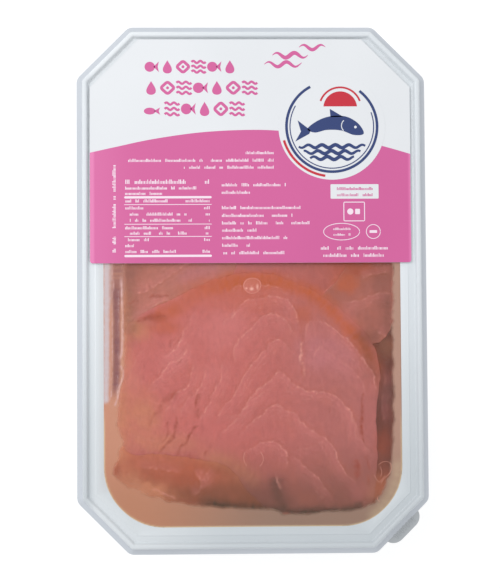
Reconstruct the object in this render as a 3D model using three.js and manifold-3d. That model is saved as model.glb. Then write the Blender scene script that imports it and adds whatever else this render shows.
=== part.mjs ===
// A sealed pack of smoked salmon in oil: an eight-sided white tray, the slices and the oil in it,
// a clear lid film and a printed label. Millimetres. X runs across the pack, Y along it towards the
// label, Z up. The origin is at the middle of the tray's base.

import * as THREE from 'three';
import { mergeVertices } from 'three/addons/utils/BufferGeometryUtils.js';
import Module from 'manifold-3d';

const wasm = await Module();
wasm.setup();

// Driving sizes of the tray
const TRAY_WIDTH = 130;
const TRAY_LENGTH = 196;
const RIM_CHAMFER = 19.4;
const RIM_ROUND = 4;
const CAVITY_WIDTH = 110.2;
const CAVITY_LENGTH = 176;
const CAVITY_ROUND = 21.6;
const FLANGE_HEIGHT = 20.3;
const ARC_STEPS = 5;

// The gap between pieces that touch
const GAP = 0.3;

// Rings of the tray's skin. Each is the distance in from an outline, then the height. The first two
// lists follow the cavity's outline and the third follows the rim's.
const INSIDE_RINGS = [
  [18, 0.9],
  [16.8, 2.1],
  [14.2, 2.1],
  [13, 0.9],
  [6, 0.9],
  [4, 1.7],
  [3, 3.4],
  [0.5, 19.4],
  [0.2, 20.1],
  [0, FLANGE_HEIGHT],
];
const OUTSIDE_RINGS = [
  [-0.9, 19.5],
  [-0.4, 18.8],
  [2.2, 3],
  [3.3, 0.9],
  [4.6, 0.2],
  [5.6, 0],
  [13.2, 0],
  [14.4, 1.2],
  [16.6, 1.2],
  [17.8, 0],
];
const RIM_RINGS = [
  [4.6, FLANGE_HEIGHT],
  [4.2, 20.6],
  [4, 21.7],
  [3.7, 22],
  [2.7, 22],
  [2.3, 21.6],
  [2, 19.9],
  [1.7, 19.6],
  [0.2, 18.6],
  [0, 18.3],
  [0.1, 17.5],
  [0.9, 17.5],
  [1.9, 18.6],
  [5.2, 19.1],
  [5.8, 19.5],
];

// The grip tab on the lip, at the chamfer to the lower right
const TAB_WIDTH = 16.4;
const TAB_REACH = 3.3;
const TAB_ROUND = 4.5;
const TAB_ROOT = 1.5;
const TAB_THICKNESS = 0.8;
const TAB_DROOP = 0.22;
const TAB_HEIGHT = 18.45;

// Lid film and label
const FILM_INSET = 4.8;
const FILM_THICKNESS = 0.3;
const FILM_BOTTOM = FLANGE_HEIGHT + GAP;
const LABEL_LEFT = -60;
const LABEL_RIGHT = 59.2;
const LABEL_BOTTOM = 9.4;
const LABEL_TOP = 93;
const LABEL_CHAMFER = 18;
const LABEL_ROUND = 1;
const LABEL_THICKNESS = 0.2;

// Contents. A slice's outline is a smooth closed curve through its knots. The slices are listed from
// the top one down: each runs under the ones before it and rises beside them.
const SLICE_EDGE_ROUND = 0.6;
const ABOVE_ALL = 25;
const SLICES = [
  {
    name: 'slice_top', bottom: 17.6, top: 19.6, steps: 64, colour: 0xc06a68,
    knots: [
      [-46.5, -60], [-50.3, -47], [-48.5, -30], [-46.5, -14], [-29, -3.5], [-10, 4.5], [2, 6],
      [18, 1.5], [33, -8], [42.5, -17.5], [47, -29], [45.7, -45], [45.6, -69], [42.5, -81],
      [28, -83.3], [9, -83.5], [-1, -76], [-9.5, -65.8], [-20, -63.2], [-34, -61],
    ],
  },
  {
    name: 'slice_upper_left', bottom: 17.6, top: 19.2, steps: 40, colour: 0xb0705f,
    knots: [
      [-48.6, 9], [-48.8, -4], [-47.5, -12], [-38, -14], [-20, -6], [-6, 8], [-1, 34], [-8, 64],
      [-24, 80], [-42, 74], [-49.5, 50], [-50, 28],
    ],
  },
  {
    name: 'slice_upper_middle', bottom: 15.5, top: 19.1, steps: 40, colour: 0xb87076,
    knots: [
      [35.5, 10], [31, 2], [24.5, -3.5], [12, -8], [-6, -7], [-18, 2], [-17, 28], [-8, 56], [6, 74],
      [24, 78], [38, 66], [41, 44], [39, 24],
    ],
  },
  {
    name: 'slice_lower_left', bottom: 15.2, top: 19.1, steps: 44, colour: 0xb5604f,
    knots: [
      [-49, -44], [-50.2, -52], [-48.6, -56], [-52.2, -68], [-49, -72], [-40.5, -75.5],
      [-28.5, -78.7], [-15, -79.8], [-3, -80.3], [5, -77], [8, -64], [0, -50], [-20, -42], [-38, -40],
    ],
  },
  {
    name: 'slice_upper_right', bottom: 13.4, top: 19, steps: 40, colour: 0xa96a5d,
    knots: [
      [52, -13], [49, -18.5], [44, -21], [36, -19], [24, -10], [18, 4], [16, 30], [20, 56],
      [30, 76], [42, 78], [49.5, 64], [51.6, 40], [52.2, 12], [52.3, -4],
    ],
  },
  {
    name: 'slice_right', bottom: 11.3, top: 18.2, steps: 36, colour: 0x8d5c4c,
    knots: [
      [50, -4], [51.6, -18], [51.9, -34], [51.7, -49], [50.8, -60], [49, -68], [46, -73], [41, -77],
      [33, -70], [32, -46], [34, -20], [41, -3],
    ],
  },
];
const STACK = {
  name: 'slices_below', bottom: 1, top: 17.3, steps: 40, colour: 0xb06a5c,
  knots: [
    [-45, -58], [-46.5, -36], [-45.5, -12], [-46, 30], [-42, 64], [-24, 73], [4, 70], [30, 72],
    [44, 60], [46, 30], [46.5, -30], [45, -62], [36, -75], [10, -76], [-25, -72],
  ],
};

// The air left under the film along the tray's left wall, where the oil stands lower
const AIR_BOTTOM = 19;
const AIR_KNOTS = [
  [-54.2, -42.5], [-52, -42], [-50.4, -37], [-49.6, -31], [-50.4, -27], [-49.6, -19], [-49.4, -4],
  [-49.8, 20], [-50.4, 50], [-52, 62], [-54.2, 64], [-54.2, 10],
];

const WHITE_PLASTIC = { color: 0xe2e6ea, roughness: 0.35 };
const CLEAR_FILM = { color: 0xf2f4f5, roughness: 0.1, transparent: true, opacity: 0.25 };
const LABEL_STOCK = { color: 0xd86aa3, roughness: 0.45 };
const TINTED_OIL = { color: 0xb58469, roughness: 0.15 };

/** The closed outline of a rectangle with four chamfers, its eight corners rounded. */
function chamferedOutline(halfX, halfY, chamfer, radius) {
  const corners = [
    [halfX, chamfer - halfY], [halfX, halfY - chamfer], [halfX - chamfer, halfY],
    [chamfer - halfX, halfY], [-halfX, halfY - chamfer], [-halfX, chamfer - halfY],
    [chamfer - halfX, -halfY], [halfX - chamfer, -halfY],
  ];
  const setback = radius * Math.tan(Math.PI / 8);
  const points = [];
  corners.forEach(([x, y], index) => {
    const heading = ((index + 1) * Math.PI) / 4;
    const centreX = x - setback * Math.cos(heading) - radius * Math.sin(heading);
    const centreY = y - setback * Math.sin(heading) + radius * Math.cos(heading);
    for (let step = 0; step <= ARC_STEPS; step += 1) {
      const angle = heading - Math.PI / 2 + (step / ARC_STEPS) * (Math.PI / 4);
      points.push(new THREE.Vector2(
        centreX + radius * Math.cos(angle),
        centreY + radius * Math.sin(angle),
      ));
    }
  });
  return points;
}

/** The rim's outline, moved in by inset. */
function rimOutline(inset) {
  const chamfer = RIM_CHAMFER - (2 - Math.SQRT2) * inset;
  const radius = Math.max(RIM_ROUND - inset, 0.6);
  return chamferedOutline(TRAY_WIDTH / 2 - inset, TRAY_LENGTH / 2 - inset, chamfer, radius);
}

/** The cavity's outline, moved in by inset: a rectangle whose corners are whole quarter circles. */
function cavityOutline(inset) {
  const radius = Math.max(CAVITY_ROUND - inset, 2);
  const chamfer = radius * Math.SQRT2 * Math.tan(Math.PI / 8);
  return chamferedOutline(CAVITY_WIDTH / 2 - inset, CAVITY_LENGTH / 2 - inset, chamfer, radius);
}

/** A solid skinned over rings of equal point counts, with a flat cap on the first and the last. */
function loft(rings) {
  const count = rings[0].points.length;
  const positions = rings.flatMap(({ points, z }) => points.flatMap((point) => [point.x, point.y, z]));
  const indices = [];
  for (let ring = 0; ring < rings.length - 1; ring += 1) {
    for (let side = 0; side < count; side += 1) {
      const next = (side + 1) % count;
      const a = ring * count + side;
      const b = ring * count + next;
      indices.push(a, b, b + count, a, b + count, a + count);
    }
  }
  const last = (rings.length - 1) * count;
  for (const [a, b, c] of THREE.ShapeUtils.triangulateShape(rings[0].points, [])) {
    indices.push(c, b, a);
  }
  for (const [a, b, c] of THREE.ShapeUtils.triangulateShape(rings[rings.length - 1].points, [])) {
    indices.push(last + a, last + b, last + c);
  }
  const geometry = new THREE.BufferGeometry();
  geometry.setAttribute('position', new THREE.Float32BufferAttribute(positions, 3));
  geometry.setIndex(indices);
  return geometry;
}

/** A closed geometry as a solid that can be joined and cut. */
function toSolid(geometry) {
  const bare = geometry.clone();
  bare.deleteAttribute('normal');
  bare.deleteAttribute('uv');
  const merged = mergeVertices(bare, 1e-4);
  return new wasm.Manifold(new wasm.Mesh({
    numProp: 3,
    vertProperties: Float32Array.from(merged.attributes.position.array),
    triVerts: Uint32Array.from(merged.index.array),
  }));
}

/** A solid as a geometry. */
function toGeometry(solid) {
  const mesh = solid.getMesh();
  const geometry = new THREE.BufferGeometry();
  geometry.setAttribute('position', new THREE.BufferAttribute(mesh.vertProperties, 3));
  geometry.setIndex(new THREE.BufferAttribute(mesh.triVerts, 1));
  return geometry;
}

/** A closed smooth outline through knots, moved outwards by grow. */
function smoothOutline(knots, steps, grow = 0) {
  const curve = new THREE.CatmullRomCurve3(
    knots.map(([x, y]) => new THREE.Vector3(x, y, 0)), true, 'centripetal',
  );
  const points = curve.getSpacedPoints(steps).slice(0, steps);
  const flat = points.map((point) => new THREE.Vector2(point.x, point.y));
  const turn = THREE.ShapeUtils.isClockWise(flat) ? -1 : 1;
  return flat.map((point, index) => {
    const before = flat[(index + steps - 1) % steps];
    const after = flat[(index + 1) % steps];
    const along = after.clone().sub(before).normalize();
    return new THREE.Vector2(point.x + turn * grow * along.y, point.y - turn * grow * along.x);
  });
}

/** A flat slab over an outline, with square edges or with edges rounded by round. */
function slab(outline, bottom, top, round = 0) {
  const geometry = new THREE.ExtrudeGeometry(new THREE.Shape(outline), {
    depth: top - bottom - 2 * round,
    bevelEnabled: round > 0,
    bevelThickness: round,
    bevelSize: round,
    bevelOffset: -round,
    bevelSegments: 2,
  });
  geometry.translate(0, 0, bottom + round);
  return geometry;
}

/** The tray's inside as a solid, kept GAP away from the tray's skin and cut off level with its flange. */
function contentsSpace() {
  const profile = INSIDE_RINGS.slice(0, -2).map(([inset, z]) => new THREE.Vector2(inset, z));
  const normals = profile.slice(1).map((point, index) => {
    const along = point.clone().sub(profile[index]).normalize();
    return new THREE.Vector2(along.y, -along.x);
  });
  const rings = profile.map((point, index) => {
    const before = normals[Math.max(index - 1, 0)];
    const after = normals[Math.min(index, normals.length - 1)];
    const corner = before.clone().add(after).multiplyScalar(GAP / (1 + before.dot(after)));
    return { points: cavityOutline(point.x + corner.x), z: point.y + corner.y };
  });
  rings.push({ points: rings[rings.length - 1].points, z: FLANGE_HEIGHT });
  return toSolid(loft(rings));
}

/** A slice's outline carried up from its underside past the film, GAP larger all round. */
function clearanceAbove({ knots, steps, bottom }) {
  return toSolid(slab(smoothOutline(knots, steps, GAP), bottom - GAP, ABOVE_ALL));
}

/** The grip tab: a rounded flap that carries the sloping lip on outwards at one chamfer. */
function gripTab() {
  const half = TAB_WIDTH / 2;
  const shape = new THREE.Shape();
  shape.moveTo(-half, -TAB_ROOT);
  shape.lineTo(half, -TAB_ROOT);
  shape.lineTo(half, TAB_REACH - TAB_ROUND);
  shape.absarc(half - TAB_ROUND, TAB_REACH - TAB_ROUND, TAB_ROUND, 0, Math.PI / 2, false);
  shape.absarc(TAB_ROUND - half, TAB_REACH - TAB_ROUND, TAB_ROUND, Math.PI / 2, Math.PI, false);
  const geometry = new THREE.ExtrudeGeometry(shape, {
    depth: TAB_THICKNESS,
    bevelEnabled: false,
    curveSegments: 6,
  });
  geometry.translate(0, 0, -TAB_THICKNESS);
  geometry.rotateX(-TAB_DROOP);
  geometry.rotateZ((-3 * Math.PI) / 4);
  const middleX = (TRAY_WIDTH - RIM_CHAMFER) / 2;
  const middleY = (RIM_CHAMFER - TRAY_LENGTH) / 2;
  geometry.translate(middleX, middleY, TAB_HEIGHT);
  return toSolid(geometry);
}

/** The tray: one skin from the cavity's floor over the rim and down to the base, with its tab. */
function tray() {
  const inside = INSIDE_RINGS.map(([inset, z]) => ({ points: cavityOutline(inset), z }));
  const rim = RIM_RINGS.map(([inset, z]) => ({ points: rimOutline(inset), z }));
  const outside = OUTSIDE_RINGS.map(([inset, z]) => ({ points: cavityOutline(inset), z }));
  const skin = loft([...inside, ...rim, ...outside].reverse());
  return toGeometry(toSolid(skin).add(gripTab()));
}

/** The clear lid film, flat on the sealing flange inside the rim's ridge. */
function lidFilm() {
  return slab(rimOutline(FILM_INSET), FILM_BOTTOM, FILM_BOTTOM + FILM_THICKNESS);
}

/** The label on the film: two chamfered upper corners and two slightly rounded lower ones. */
function label() {
  const shape = new THREE.Shape();
  shape.moveTo(LABEL_LEFT + LABEL_ROUND, LABEL_BOTTOM);
  shape.lineTo(LABEL_RIGHT - LABEL_ROUND, LABEL_BOTTOM);
  shape.absarc(LABEL_RIGHT - LABEL_ROUND, LABEL_BOTTOM + LABEL_ROUND, LABEL_ROUND,
    -Math.PI / 2, 0, false);
  shape.lineTo(LABEL_RIGHT, LABEL_TOP - LABEL_CHAMFER);
  shape.lineTo(LABEL_RIGHT - LABEL_CHAMFER, LABEL_TOP);
  shape.lineTo(LABEL_LEFT + LABEL_CHAMFER, LABEL_TOP);
  shape.lineTo(LABEL_LEFT, LABEL_TOP - LABEL_CHAMFER);
  shape.lineTo(LABEL_LEFT, LABEL_BOTTOM + LABEL_ROUND);
  shape.absarc(LABEL_LEFT + LABEL_ROUND, LABEL_BOTTOM + LABEL_ROUND, LABEL_ROUND,
    Math.PI, 1.5 * Math.PI, false);
  const geometry = new THREE.ExtrudeGeometry(shape, {
    depth: LABEL_THICKNESS,
    bevelEnabled: false,
    curveSegments: 3,
  });
  geometry.translate(0, 0, FILM_BOTTOM + FILM_THICKNESS + GAP);
  return geometry;
}

/** One slice, its edges rounded, kept clear of the slices that lie on it. */
function slice(spec, slicesAbove) {
  const outline = smoothOutline(spec.knots, spec.steps);
  const solid = toSolid(slab(outline, spec.bottom, spec.top, SLICE_EDGE_ROUND));
  return toGeometry(slicesAbove.reduce((rest, one) => rest.subtract(clearanceAbove(one)), solid));
}

/** The slices under the visible ones, as one stack that fills the space up to them. */
function slicesBelow(space) {
  const block = toSolid(slab(smoothOutline(STACK.knots, STACK.steps), STACK.bottom, STACK.top));
  return SLICES.reduce((stack, spec) => stack.subtract(clearanceAbove(spec)), block.intersect(space));
}

/** The oil round the slices, up to the film, with the strip of air left out. */
function oil(space) {
  const air = toSolid(slab(smoothOutline(AIR_KNOTS, 48), AIR_BOTTOM, ABOVE_ALL));
  return [...SLICES, STACK]
    .reduce((body, spec) => body.subtract(clearanceAbove(spec)), space.subtract(air));
}

/** Adds a named mesh with a material of its own to the pack. */
function addPiece(pack, name, geometry, look) {
  const mesh = new THREE.Mesh(geometry, new THREE.MeshStandardMaterial({ metalness: 0, ...look }));
  mesh.name = name;
  pack.add(mesh);
}

const pack = new THREE.Group();
const space = contentsSpace();
addPiece(pack, 'tray', tray(), WHITE_PLASTIC);
addPiece(pack, 'lid_film', lidFilm(), CLEAR_FILM);
addPiece(pack, 'label', label(), LABEL_STOCK);
addPiece(pack, 'oil', toGeometry(oil(space)), TINTED_OIL);
addPiece(pack, STACK.name, toGeometry(slicesBelow(space)), { color: STACK.colour, roughness: 0.4 });
SLICES.forEach((spec, index) => {
  addPiece(pack, spec.name, slice(spec, SLICES.slice(0, index)), { color: spec.colour, roughness: 0.4 });
});

export default pack;
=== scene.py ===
"""Looks of a sealed pack of smoked salmon in oil, built round its fixed model.

The pack is a white moulded tray with salmon slices in tinted oil, a clear lid film and a printed
label. The frame gives the place of every part: X runs across the pack, Y along it towards the
label, Z up. Shapes are worked out in millimetres and become metres when a mesh is made.
"""

import logging
import math
from dataclasses import dataclass, field
from enum import Enum
from functools import cache
from typing import Iterable, Sequence

import bpy
import numpy as np
from mathutils import Matrix, Quaternion, Vector


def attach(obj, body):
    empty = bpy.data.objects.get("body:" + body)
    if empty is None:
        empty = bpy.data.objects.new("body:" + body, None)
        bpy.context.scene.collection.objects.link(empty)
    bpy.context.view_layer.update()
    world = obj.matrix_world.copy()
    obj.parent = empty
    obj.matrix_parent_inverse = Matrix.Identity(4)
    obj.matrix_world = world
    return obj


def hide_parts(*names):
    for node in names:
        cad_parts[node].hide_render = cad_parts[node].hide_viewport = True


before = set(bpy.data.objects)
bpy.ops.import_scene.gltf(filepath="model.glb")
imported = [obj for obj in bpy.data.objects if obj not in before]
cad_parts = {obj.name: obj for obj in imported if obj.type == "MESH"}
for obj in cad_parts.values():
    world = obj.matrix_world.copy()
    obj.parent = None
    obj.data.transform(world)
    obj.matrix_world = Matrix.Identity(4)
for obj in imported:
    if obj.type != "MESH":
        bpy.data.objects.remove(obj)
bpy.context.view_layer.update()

log = logging.getLogger("salmon_pack")

MM = 0.001
BODY = "root"
PATH_STEP = 0.3
Rgba = tuple[float, float, float, float]
Points = tuple[tuple[float, float], ...]


# ---------------------------------------------------------------- colours and node trees


@dataclass(frozen=True)
class Tone:
    """A colour in 8-bit steps, as it shows under the studio light."""

    red: int
    green: int
    blue: int

    def base(self) -> Rgba:
        """The tone as a base colour.

        Returns:
            Linear red, green, blue and an alpha of 1.
        """
        shares = [channel / 255 for channel in (self.red, self.green, self.blue)]
        linear = [s / 12.92 if s <= 0.04045 else ((s + 0.055) / 1.055) ** 2.4 for s in shares]
        return (*linear, 1.0)


class Wire:
    """A number in a node tree that takes part in Python sums."""

    def __init__(self, graph: "Graph", socket: bpy.types.NodeSocket) -> None:
        """Keeps the tree and the socket that gives the number."""
        self.graph = graph
        self.socket = socket

    def _math(self, operation: str, *terms: object, clamp: bool = False) -> "Wire":
        """The result of a Math node on some terms, kept from 0 to 1 if clamp is set."""
        settings = {"operation": operation, "use_clamp": clamp}
        return self._of("ShaderNodeMath", settings, dict(enumerate(terms)))

    def _of(self, kind: str, settings: dict[str, object], sockets: dict[str | int, object]) -> "Wire":
        """The first output of a new node."""
        return Wire(self.graph, self.graph.node(kind, settings, sockets).outputs[0])

    def __add__(self, other: object) -> "Wire":
        """self + other."""
        return self._math("ADD", self, other)

    def __radd__(self, other: object) -> "Wire":
        """other + self."""
        return self._math("ADD", other, self)

    def __sub__(self, other: object) -> "Wire":
        """self - other."""
        return self._math("SUBTRACT", self, other)

    def __rsub__(self, other: object) -> "Wire":
        """other - self."""
        return self._math("SUBTRACT", other, self)

    def __mul__(self, other: object) -> "Wire":
        """self * other."""
        return self._math("MULTIPLY", self, other)

    def __rmul__(self, other: object) -> "Wire":
        """other * self."""
        return self._math("MULTIPLY", other, self)

    def clamped(self) -> "Wire":
        """The number kept from 0 to 1."""
        return self._math("ADD", self, 0.0, clamp=True)

    def below(self, limit: object) -> "Wire":
        """1 where the number is under a limit, and 0 elsewhere."""
        return self._math("LESS_THAN", self, limit)

    def whole(self) -> "Wire":
        """The whole number below."""
        return self._math("FLOOR", self)

    def size(self) -> "Wire":
        """The number without its sign."""
        return self._math("ABSOLUTE", self)

    def rise(self, low: float, high: float) -> "Wire":
        """0 below low, 1 above high and a smooth rise between them."""
        sockets = {"Value": self, "From Min": low, "From Max": high}
        return self._of("ShaderNodeMapRange", {"interpolation_type": "SMOOTHSTEP"}, sockets)


class Graph:
    """A node tree with one way to add a node."""

    def __init__(self, tree: bpy.types.NodeTree) -> None:
        """Starts from an empty tree."""
        self.tree = tree
        tree.nodes.clear()

    def node(
        self,
        kind: str,
        settings: dict[str, object] | None = None,
        sockets: dict[str | int, object] | None = None,
    ) -> bpy.types.Node:
        """Adds a node.

        Args:
            kind: The node's type.
            settings: Its properties, which are set first.
            sockets: Values or links for its inputs, by name or place.

        Returns:
            The node.
        """
        node = self.tree.nodes.new(kind)
        for key, value in (settings or {}).items():
            setattr(node, key, value)
        for key, value in (sockets or {}).items():
            source = value.socket if isinstance(value, Wire) else value
            if isinstance(source, bpy.types.NodeSocket):
                self.tree.links.new(source, node.inputs[key])
            else:
                node.inputs[key].default_value = source
        return node


class Finish:
    """A material's node tree and the few sums that finishes share."""

    NOISE_MIDDLE = 0.5
    NOISE_SPREAD = 2.6

    def __init__(self, name: str) -> None:
        """Starts an empty material of that name."""
        self.made = bpy.data.materials.new(name)
        self.made.use_nodes = True
        self.graph = Graph(self.made.node_tree)
        self.place = self.graph.node("ShaderNodeTexCoord").outputs["Object"]

    def mask(self, name: str) -> Wire:
        """The number that a mesh attribute holds at each point."""
        node = self.graph.node("ShaderNodeAttribute", {"attribute_name": name})
        return Wire(self.graph, node.outputs["Fac"])

    def along(self, axis: int) -> Wire:
        """The place along an axis in metres: 0 is X, 1 is Y and 2 is Z."""
        node = self.graph.node("ShaderNodeSeparateXYZ", None, {0: self.place})
        return Wire(self.graph, node.outputs[axis])

    def ramp(self, axis: int, start: float, full: float) -> Wire:
        """A smooth rise along an axis.

        Args:
            axis: 0 is X and 1 is Y.
            start: Where it leaves 0, in millimetres.
            full: Where it reaches 1, on either side of that.

        Returns:
            Numbers from 0 to 1.
        """
        place = self.along(axis)
        if full < start:
            place, start, full = place * -1.0, -start, -full
        return place.rise(start * MM, full * MM)

    def noise(self, size_mm: float, detail: float = 2.0, stretch: Vector | None = None) -> Wire:
        """Cloudy noise.

        Args:
            size_mm: The width of its clouds.
            detail: How many finer layers it has.
            stretch: How much narrower the clouds are along each axis.

        Returns:
            Numbers round 0, from about -1 to 1.
        """
        place = self.place
        if stretch is not None:
            sockets = {"Vector": place, "Scale": stretch}
            place = self.graph.node("ShaderNodeMapping", None, sockets).outputs[0]
        sockets = {"Vector": place, "Scale": 1 / (size_mm * MM), "Detail": detail}
        node = self.graph.node("ShaderNodeTexNoise", None, sockets)
        return (Wire(self.graph, node.outputs[0]) - self.NOISE_MIDDLE) * self.NOISE_SPREAD

    def mix(self, first: object, second: object, share: object) -> object:
        """The first colour where share is 0, the second where it is 1, and mixed between."""
        settings = {"data_type": "RGBA", "clamp_factor": True}
        return self.graph.node("ShaderNodeMix", settings, {0: share, 6: first, 7: second}).outputs[2]

    def marked(
        self, colour: object, tones: Iterable[tuple["Mark", Tone]], uneven: Wire | None = None
    ) -> object:
        """Lays the mesh's marks over a colour.

        Args:
            colour: The colour under them.
            tones: Each mark and its colour, the lowest first.
            uneven: What their cover is multiplied by.

        Returns:
            The last mixed colour's socket.
        """
        for mark, tone in tones:
            share = self.mask(mark.value)
            if uneven is not None:
                share = (share * uneven).clamped()
            colour = self.mix(colour, tone.base(), share)
        return colour

    def shaded(self, colour: object, amount: Wire, depth: float) -> object:
        """A colour made lighter and darker.

        Args:
            colour: The colour to change.
            amount: Numbers round 0.
            depth: The change for an amount of 1.

        Returns:
            The changed colour's socket.
        """
        factor = 1.0 + amount * depth
        grey = self.graph.node("ShaderNodeCombineXYZ", None, {axis: factor for axis in range(3)})
        source = colour[:3] if isinstance(colour, tuple) else colour
        sockets = {0: source, 1: grey.outputs[0]}
        return self.graph.node("ShaderNodeVectorMath", {"operation": "MULTIPLY"}, sockets).outputs[0]

    def bump(self, height: Wire, distance_mm: float) -> object:
        """A normal for a relief in which a height of 1 stands so far out."""
        sockets = {"Strength": 1.0, "Distance": distance_mm * MM, "Height": height}
        return self.graph.node("ShaderNodeBump", None, sockets).outputs[0]

    def surface(self, **sockets: object) -> bpy.types.Node:
        """A Principled shader, its sockets named with _ for a space."""
        named = {key.replace("_", " "): value for key, value in sockets.items()}
        return self.graph.node("ShaderNodeBsdfPrincipled", None, named)

    def over_clear(self, share: Wire, skin: bpy.types.Node) -> bpy.types.Node:
        """Lays a skin over clear glass.

        Args:
            share: How much of the skin shows.
            skin: Its shader.

        Returns:
            The mixed shader.
        """
        clear = self.graph.node("ShaderNodeBsdfTransparent")
        sockets = {0: share, 1: clear.outputs[0], 2: skin.outputs[0]}
        return self.graph.node("ShaderNodeMixShader", None, sockets)

    def finished(self, shader: bpy.types.Node) -> bpy.types.Material:
        """Sends a shader to the output and returns the material."""
        self.graph.node("ShaderNodeOutputMaterial", None, {"Surface": shader.outputs[0]})
        return self.made


# ---------------------------------------------------------------- finishes


class Mark(Enum):
    """What a mark on a mesh stands for: colours of the flesh, the oil and the tray, and the light and
    shade painted on them.
    """

    SEAM = "seam"
    GLOW = "glow"
    FAT = "fat"
    MAUVE = "mauve"
    RUST_AND_SHADE = "rust_and_shade"
    GREY = "grey"
    DULL = "dull"
    GAPE = "gape"
    PLUM = "plum"
    HAZE_AND_RIM_SHEEN = "haze"
    SHINE = "shine"
    GOLD = "gold"
    COVER = "cover"
    # Painted shade on the tray's sloping lip.
    THIN = "lip_shade"
    STAIN = "stain"


@dataclass(frozen=True)
class Dress:
    """A named finish. Each kind of finish says what its shader is."""

    name: str

    def shader(self, finish: Finish) -> bpy.types.Node:
        """Builds the nodes.

        Args:
            finish: The material's node tree.

        Returns:
            The shader.
        """
        raise NotImplementedError

    def material(self) -> bpy.types.Material:
        """Builds the material and returns it."""
        finish = Finish(self.name)
        return finish.finished(self.shader(finish))


@dataclass(frozen=True)
class MouldedPlastic(Dress):
    """White moulded plastic with a soft gloss. Its colour holds painted shade, greyer on the sloping lip
    and darker towards the bottom, and a painted light that makes the left side paler.
    """

    name: str = "white_moulded_plastic"
    tone: Tone = Tone(229, 234, 238)
    stained: Tone = Tone(206, 188, 186)
    # Painted shade: the sloping lip gets a greyer tone for the shade that falls on it.
    lip_shade: Tone = Tone(205, 210, 217)
    # Painted shade: the plastic turns darker towards the bottom, where less light falls.
    low: Tone = Tone(205, 211, 215)
    # Painted light: a paler tone that brightens the left side.
    lit: Tone = Tone(250, 253, 255)
    roughness: float = 0.33
    DOWN = (10.0, -84.0)
    LIT_FROM = (0.0, -50.0)
    LIT_UP_TO = (-57.5, -61.5)
    LIT_SHARE = 0.4

    def shader(self, finish: Finish) -> bpy.types.Node:
        """Builds the nodes.

        Args:
            finish: The material's node tree.

        Returns:
            The shader.
        """
        clouds = finish.noise(26)
        # Painted shade: darker towards the bottom.
        colour = finish.mix(self.tone.base(), self.low.base(), finish.ramp(1, *self.DOWN))
        # Painted light on the left side, up to the lip.
        lit = finish.ramp(0, *self.LIT_FROM) * (1.0 - finish.ramp(0, *self.LIT_UP_TO))
        colour = finish.mix(colour, self.lit.base(), lit * self.LIT_SHARE)
        colour = finish.marked(colour, ((Mark.THIN, self.lip_shade), (Mark.STAIN, self.stained)))
        return finish.surface(
            Base_Color=finish.shaded(colour, clouds, 0.022),
            Roughness=(clouds * 0.05 + self.roughness).clamped(),
            Specular_IOR_Level=0.45,
            Normal=finish.bump(finish.noise(1.1, 3), 0.012),
        )


@dataclass(frozen=True)
class ClearFilm(Dress):
    """Clear lid film: mostly see-through, with gloss that grows towards the sides."""

    name: str = "clear_lid_film"
    tone: Tone = Tone(142, 142, 144)
    haze: float = 0.005
    gloss: float = 0.45
    bend: float = 1.25

    def shader(self, finish: Finish) -> bpy.types.Node:
        """Builds the nodes.

        Args:
            finish: The material's node tree.

        Returns:
            The shader.
        """
        ripple = finish.noise(7)
        rim = finish.graph.node("ShaderNodeFresnel", None, {"IOR": self.bend})
        share = (Wire(finish.graph, rim.outputs[0]) * self.gloss + self.haze).clamped()
        skin = finish.surface(
            Base_Color=finish.shaded(self.tone.base(), ripple, 0.03),
            Roughness=(ripple * 0.03 + 0.14).clamped(),
            Normal=finish.bump(ripple, 0.04),
        )
        return finish.over_clear(share, skin)


@dataclass(frozen=True)
class PrintedPaper(Dress):
    """One colour of the label: printed satin stock. Given an edge tone, a painted sheen makes it paler
    towards its side edges and a painted light makes its left side paler.
    """

    tone: Tone
    # A paler tone for a painted sheen at the side edges.
    edge: Tone | None = None
    roughness: float = 0.42
    SHEEN_EDGE = (57.9, 59.4)
    LIT_LEFT = (-40.0, -62.0)
    LIT_LEFT_SHARE = 0.35

    def shader(self, finish: Finish) -> bpy.types.Node:
        """Builds the nodes.

        Args:
            finish: The material's node tree.

        Returns:
            The shader.
        """
        clouds = finish.noise(31)
        colour = self.tone.base()
        if self.edge is not None:
            # Painted sheen at the side edges and painted light on the left side.
            start, full = self.SHEEN_EDGE
            outer = finish.along(0).size().rise(start * MM, full * MM)
            left = finish.ramp(0, *self.LIT_LEFT) * self.LIT_LEFT_SHARE
            colour = finish.mix(colour, self.edge.base(), (left + outer).clamped())
        return finish.surface(
            Base_Color=finish.shaded(colour, clouds, 0.025),
            Roughness=(clouds * 0.05 + self.roughness).clamped(),
            Specular_IOR_Level=0.4,
            Normal=finish.bump(finish.noise(0.5), 0.006),
        )


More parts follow.
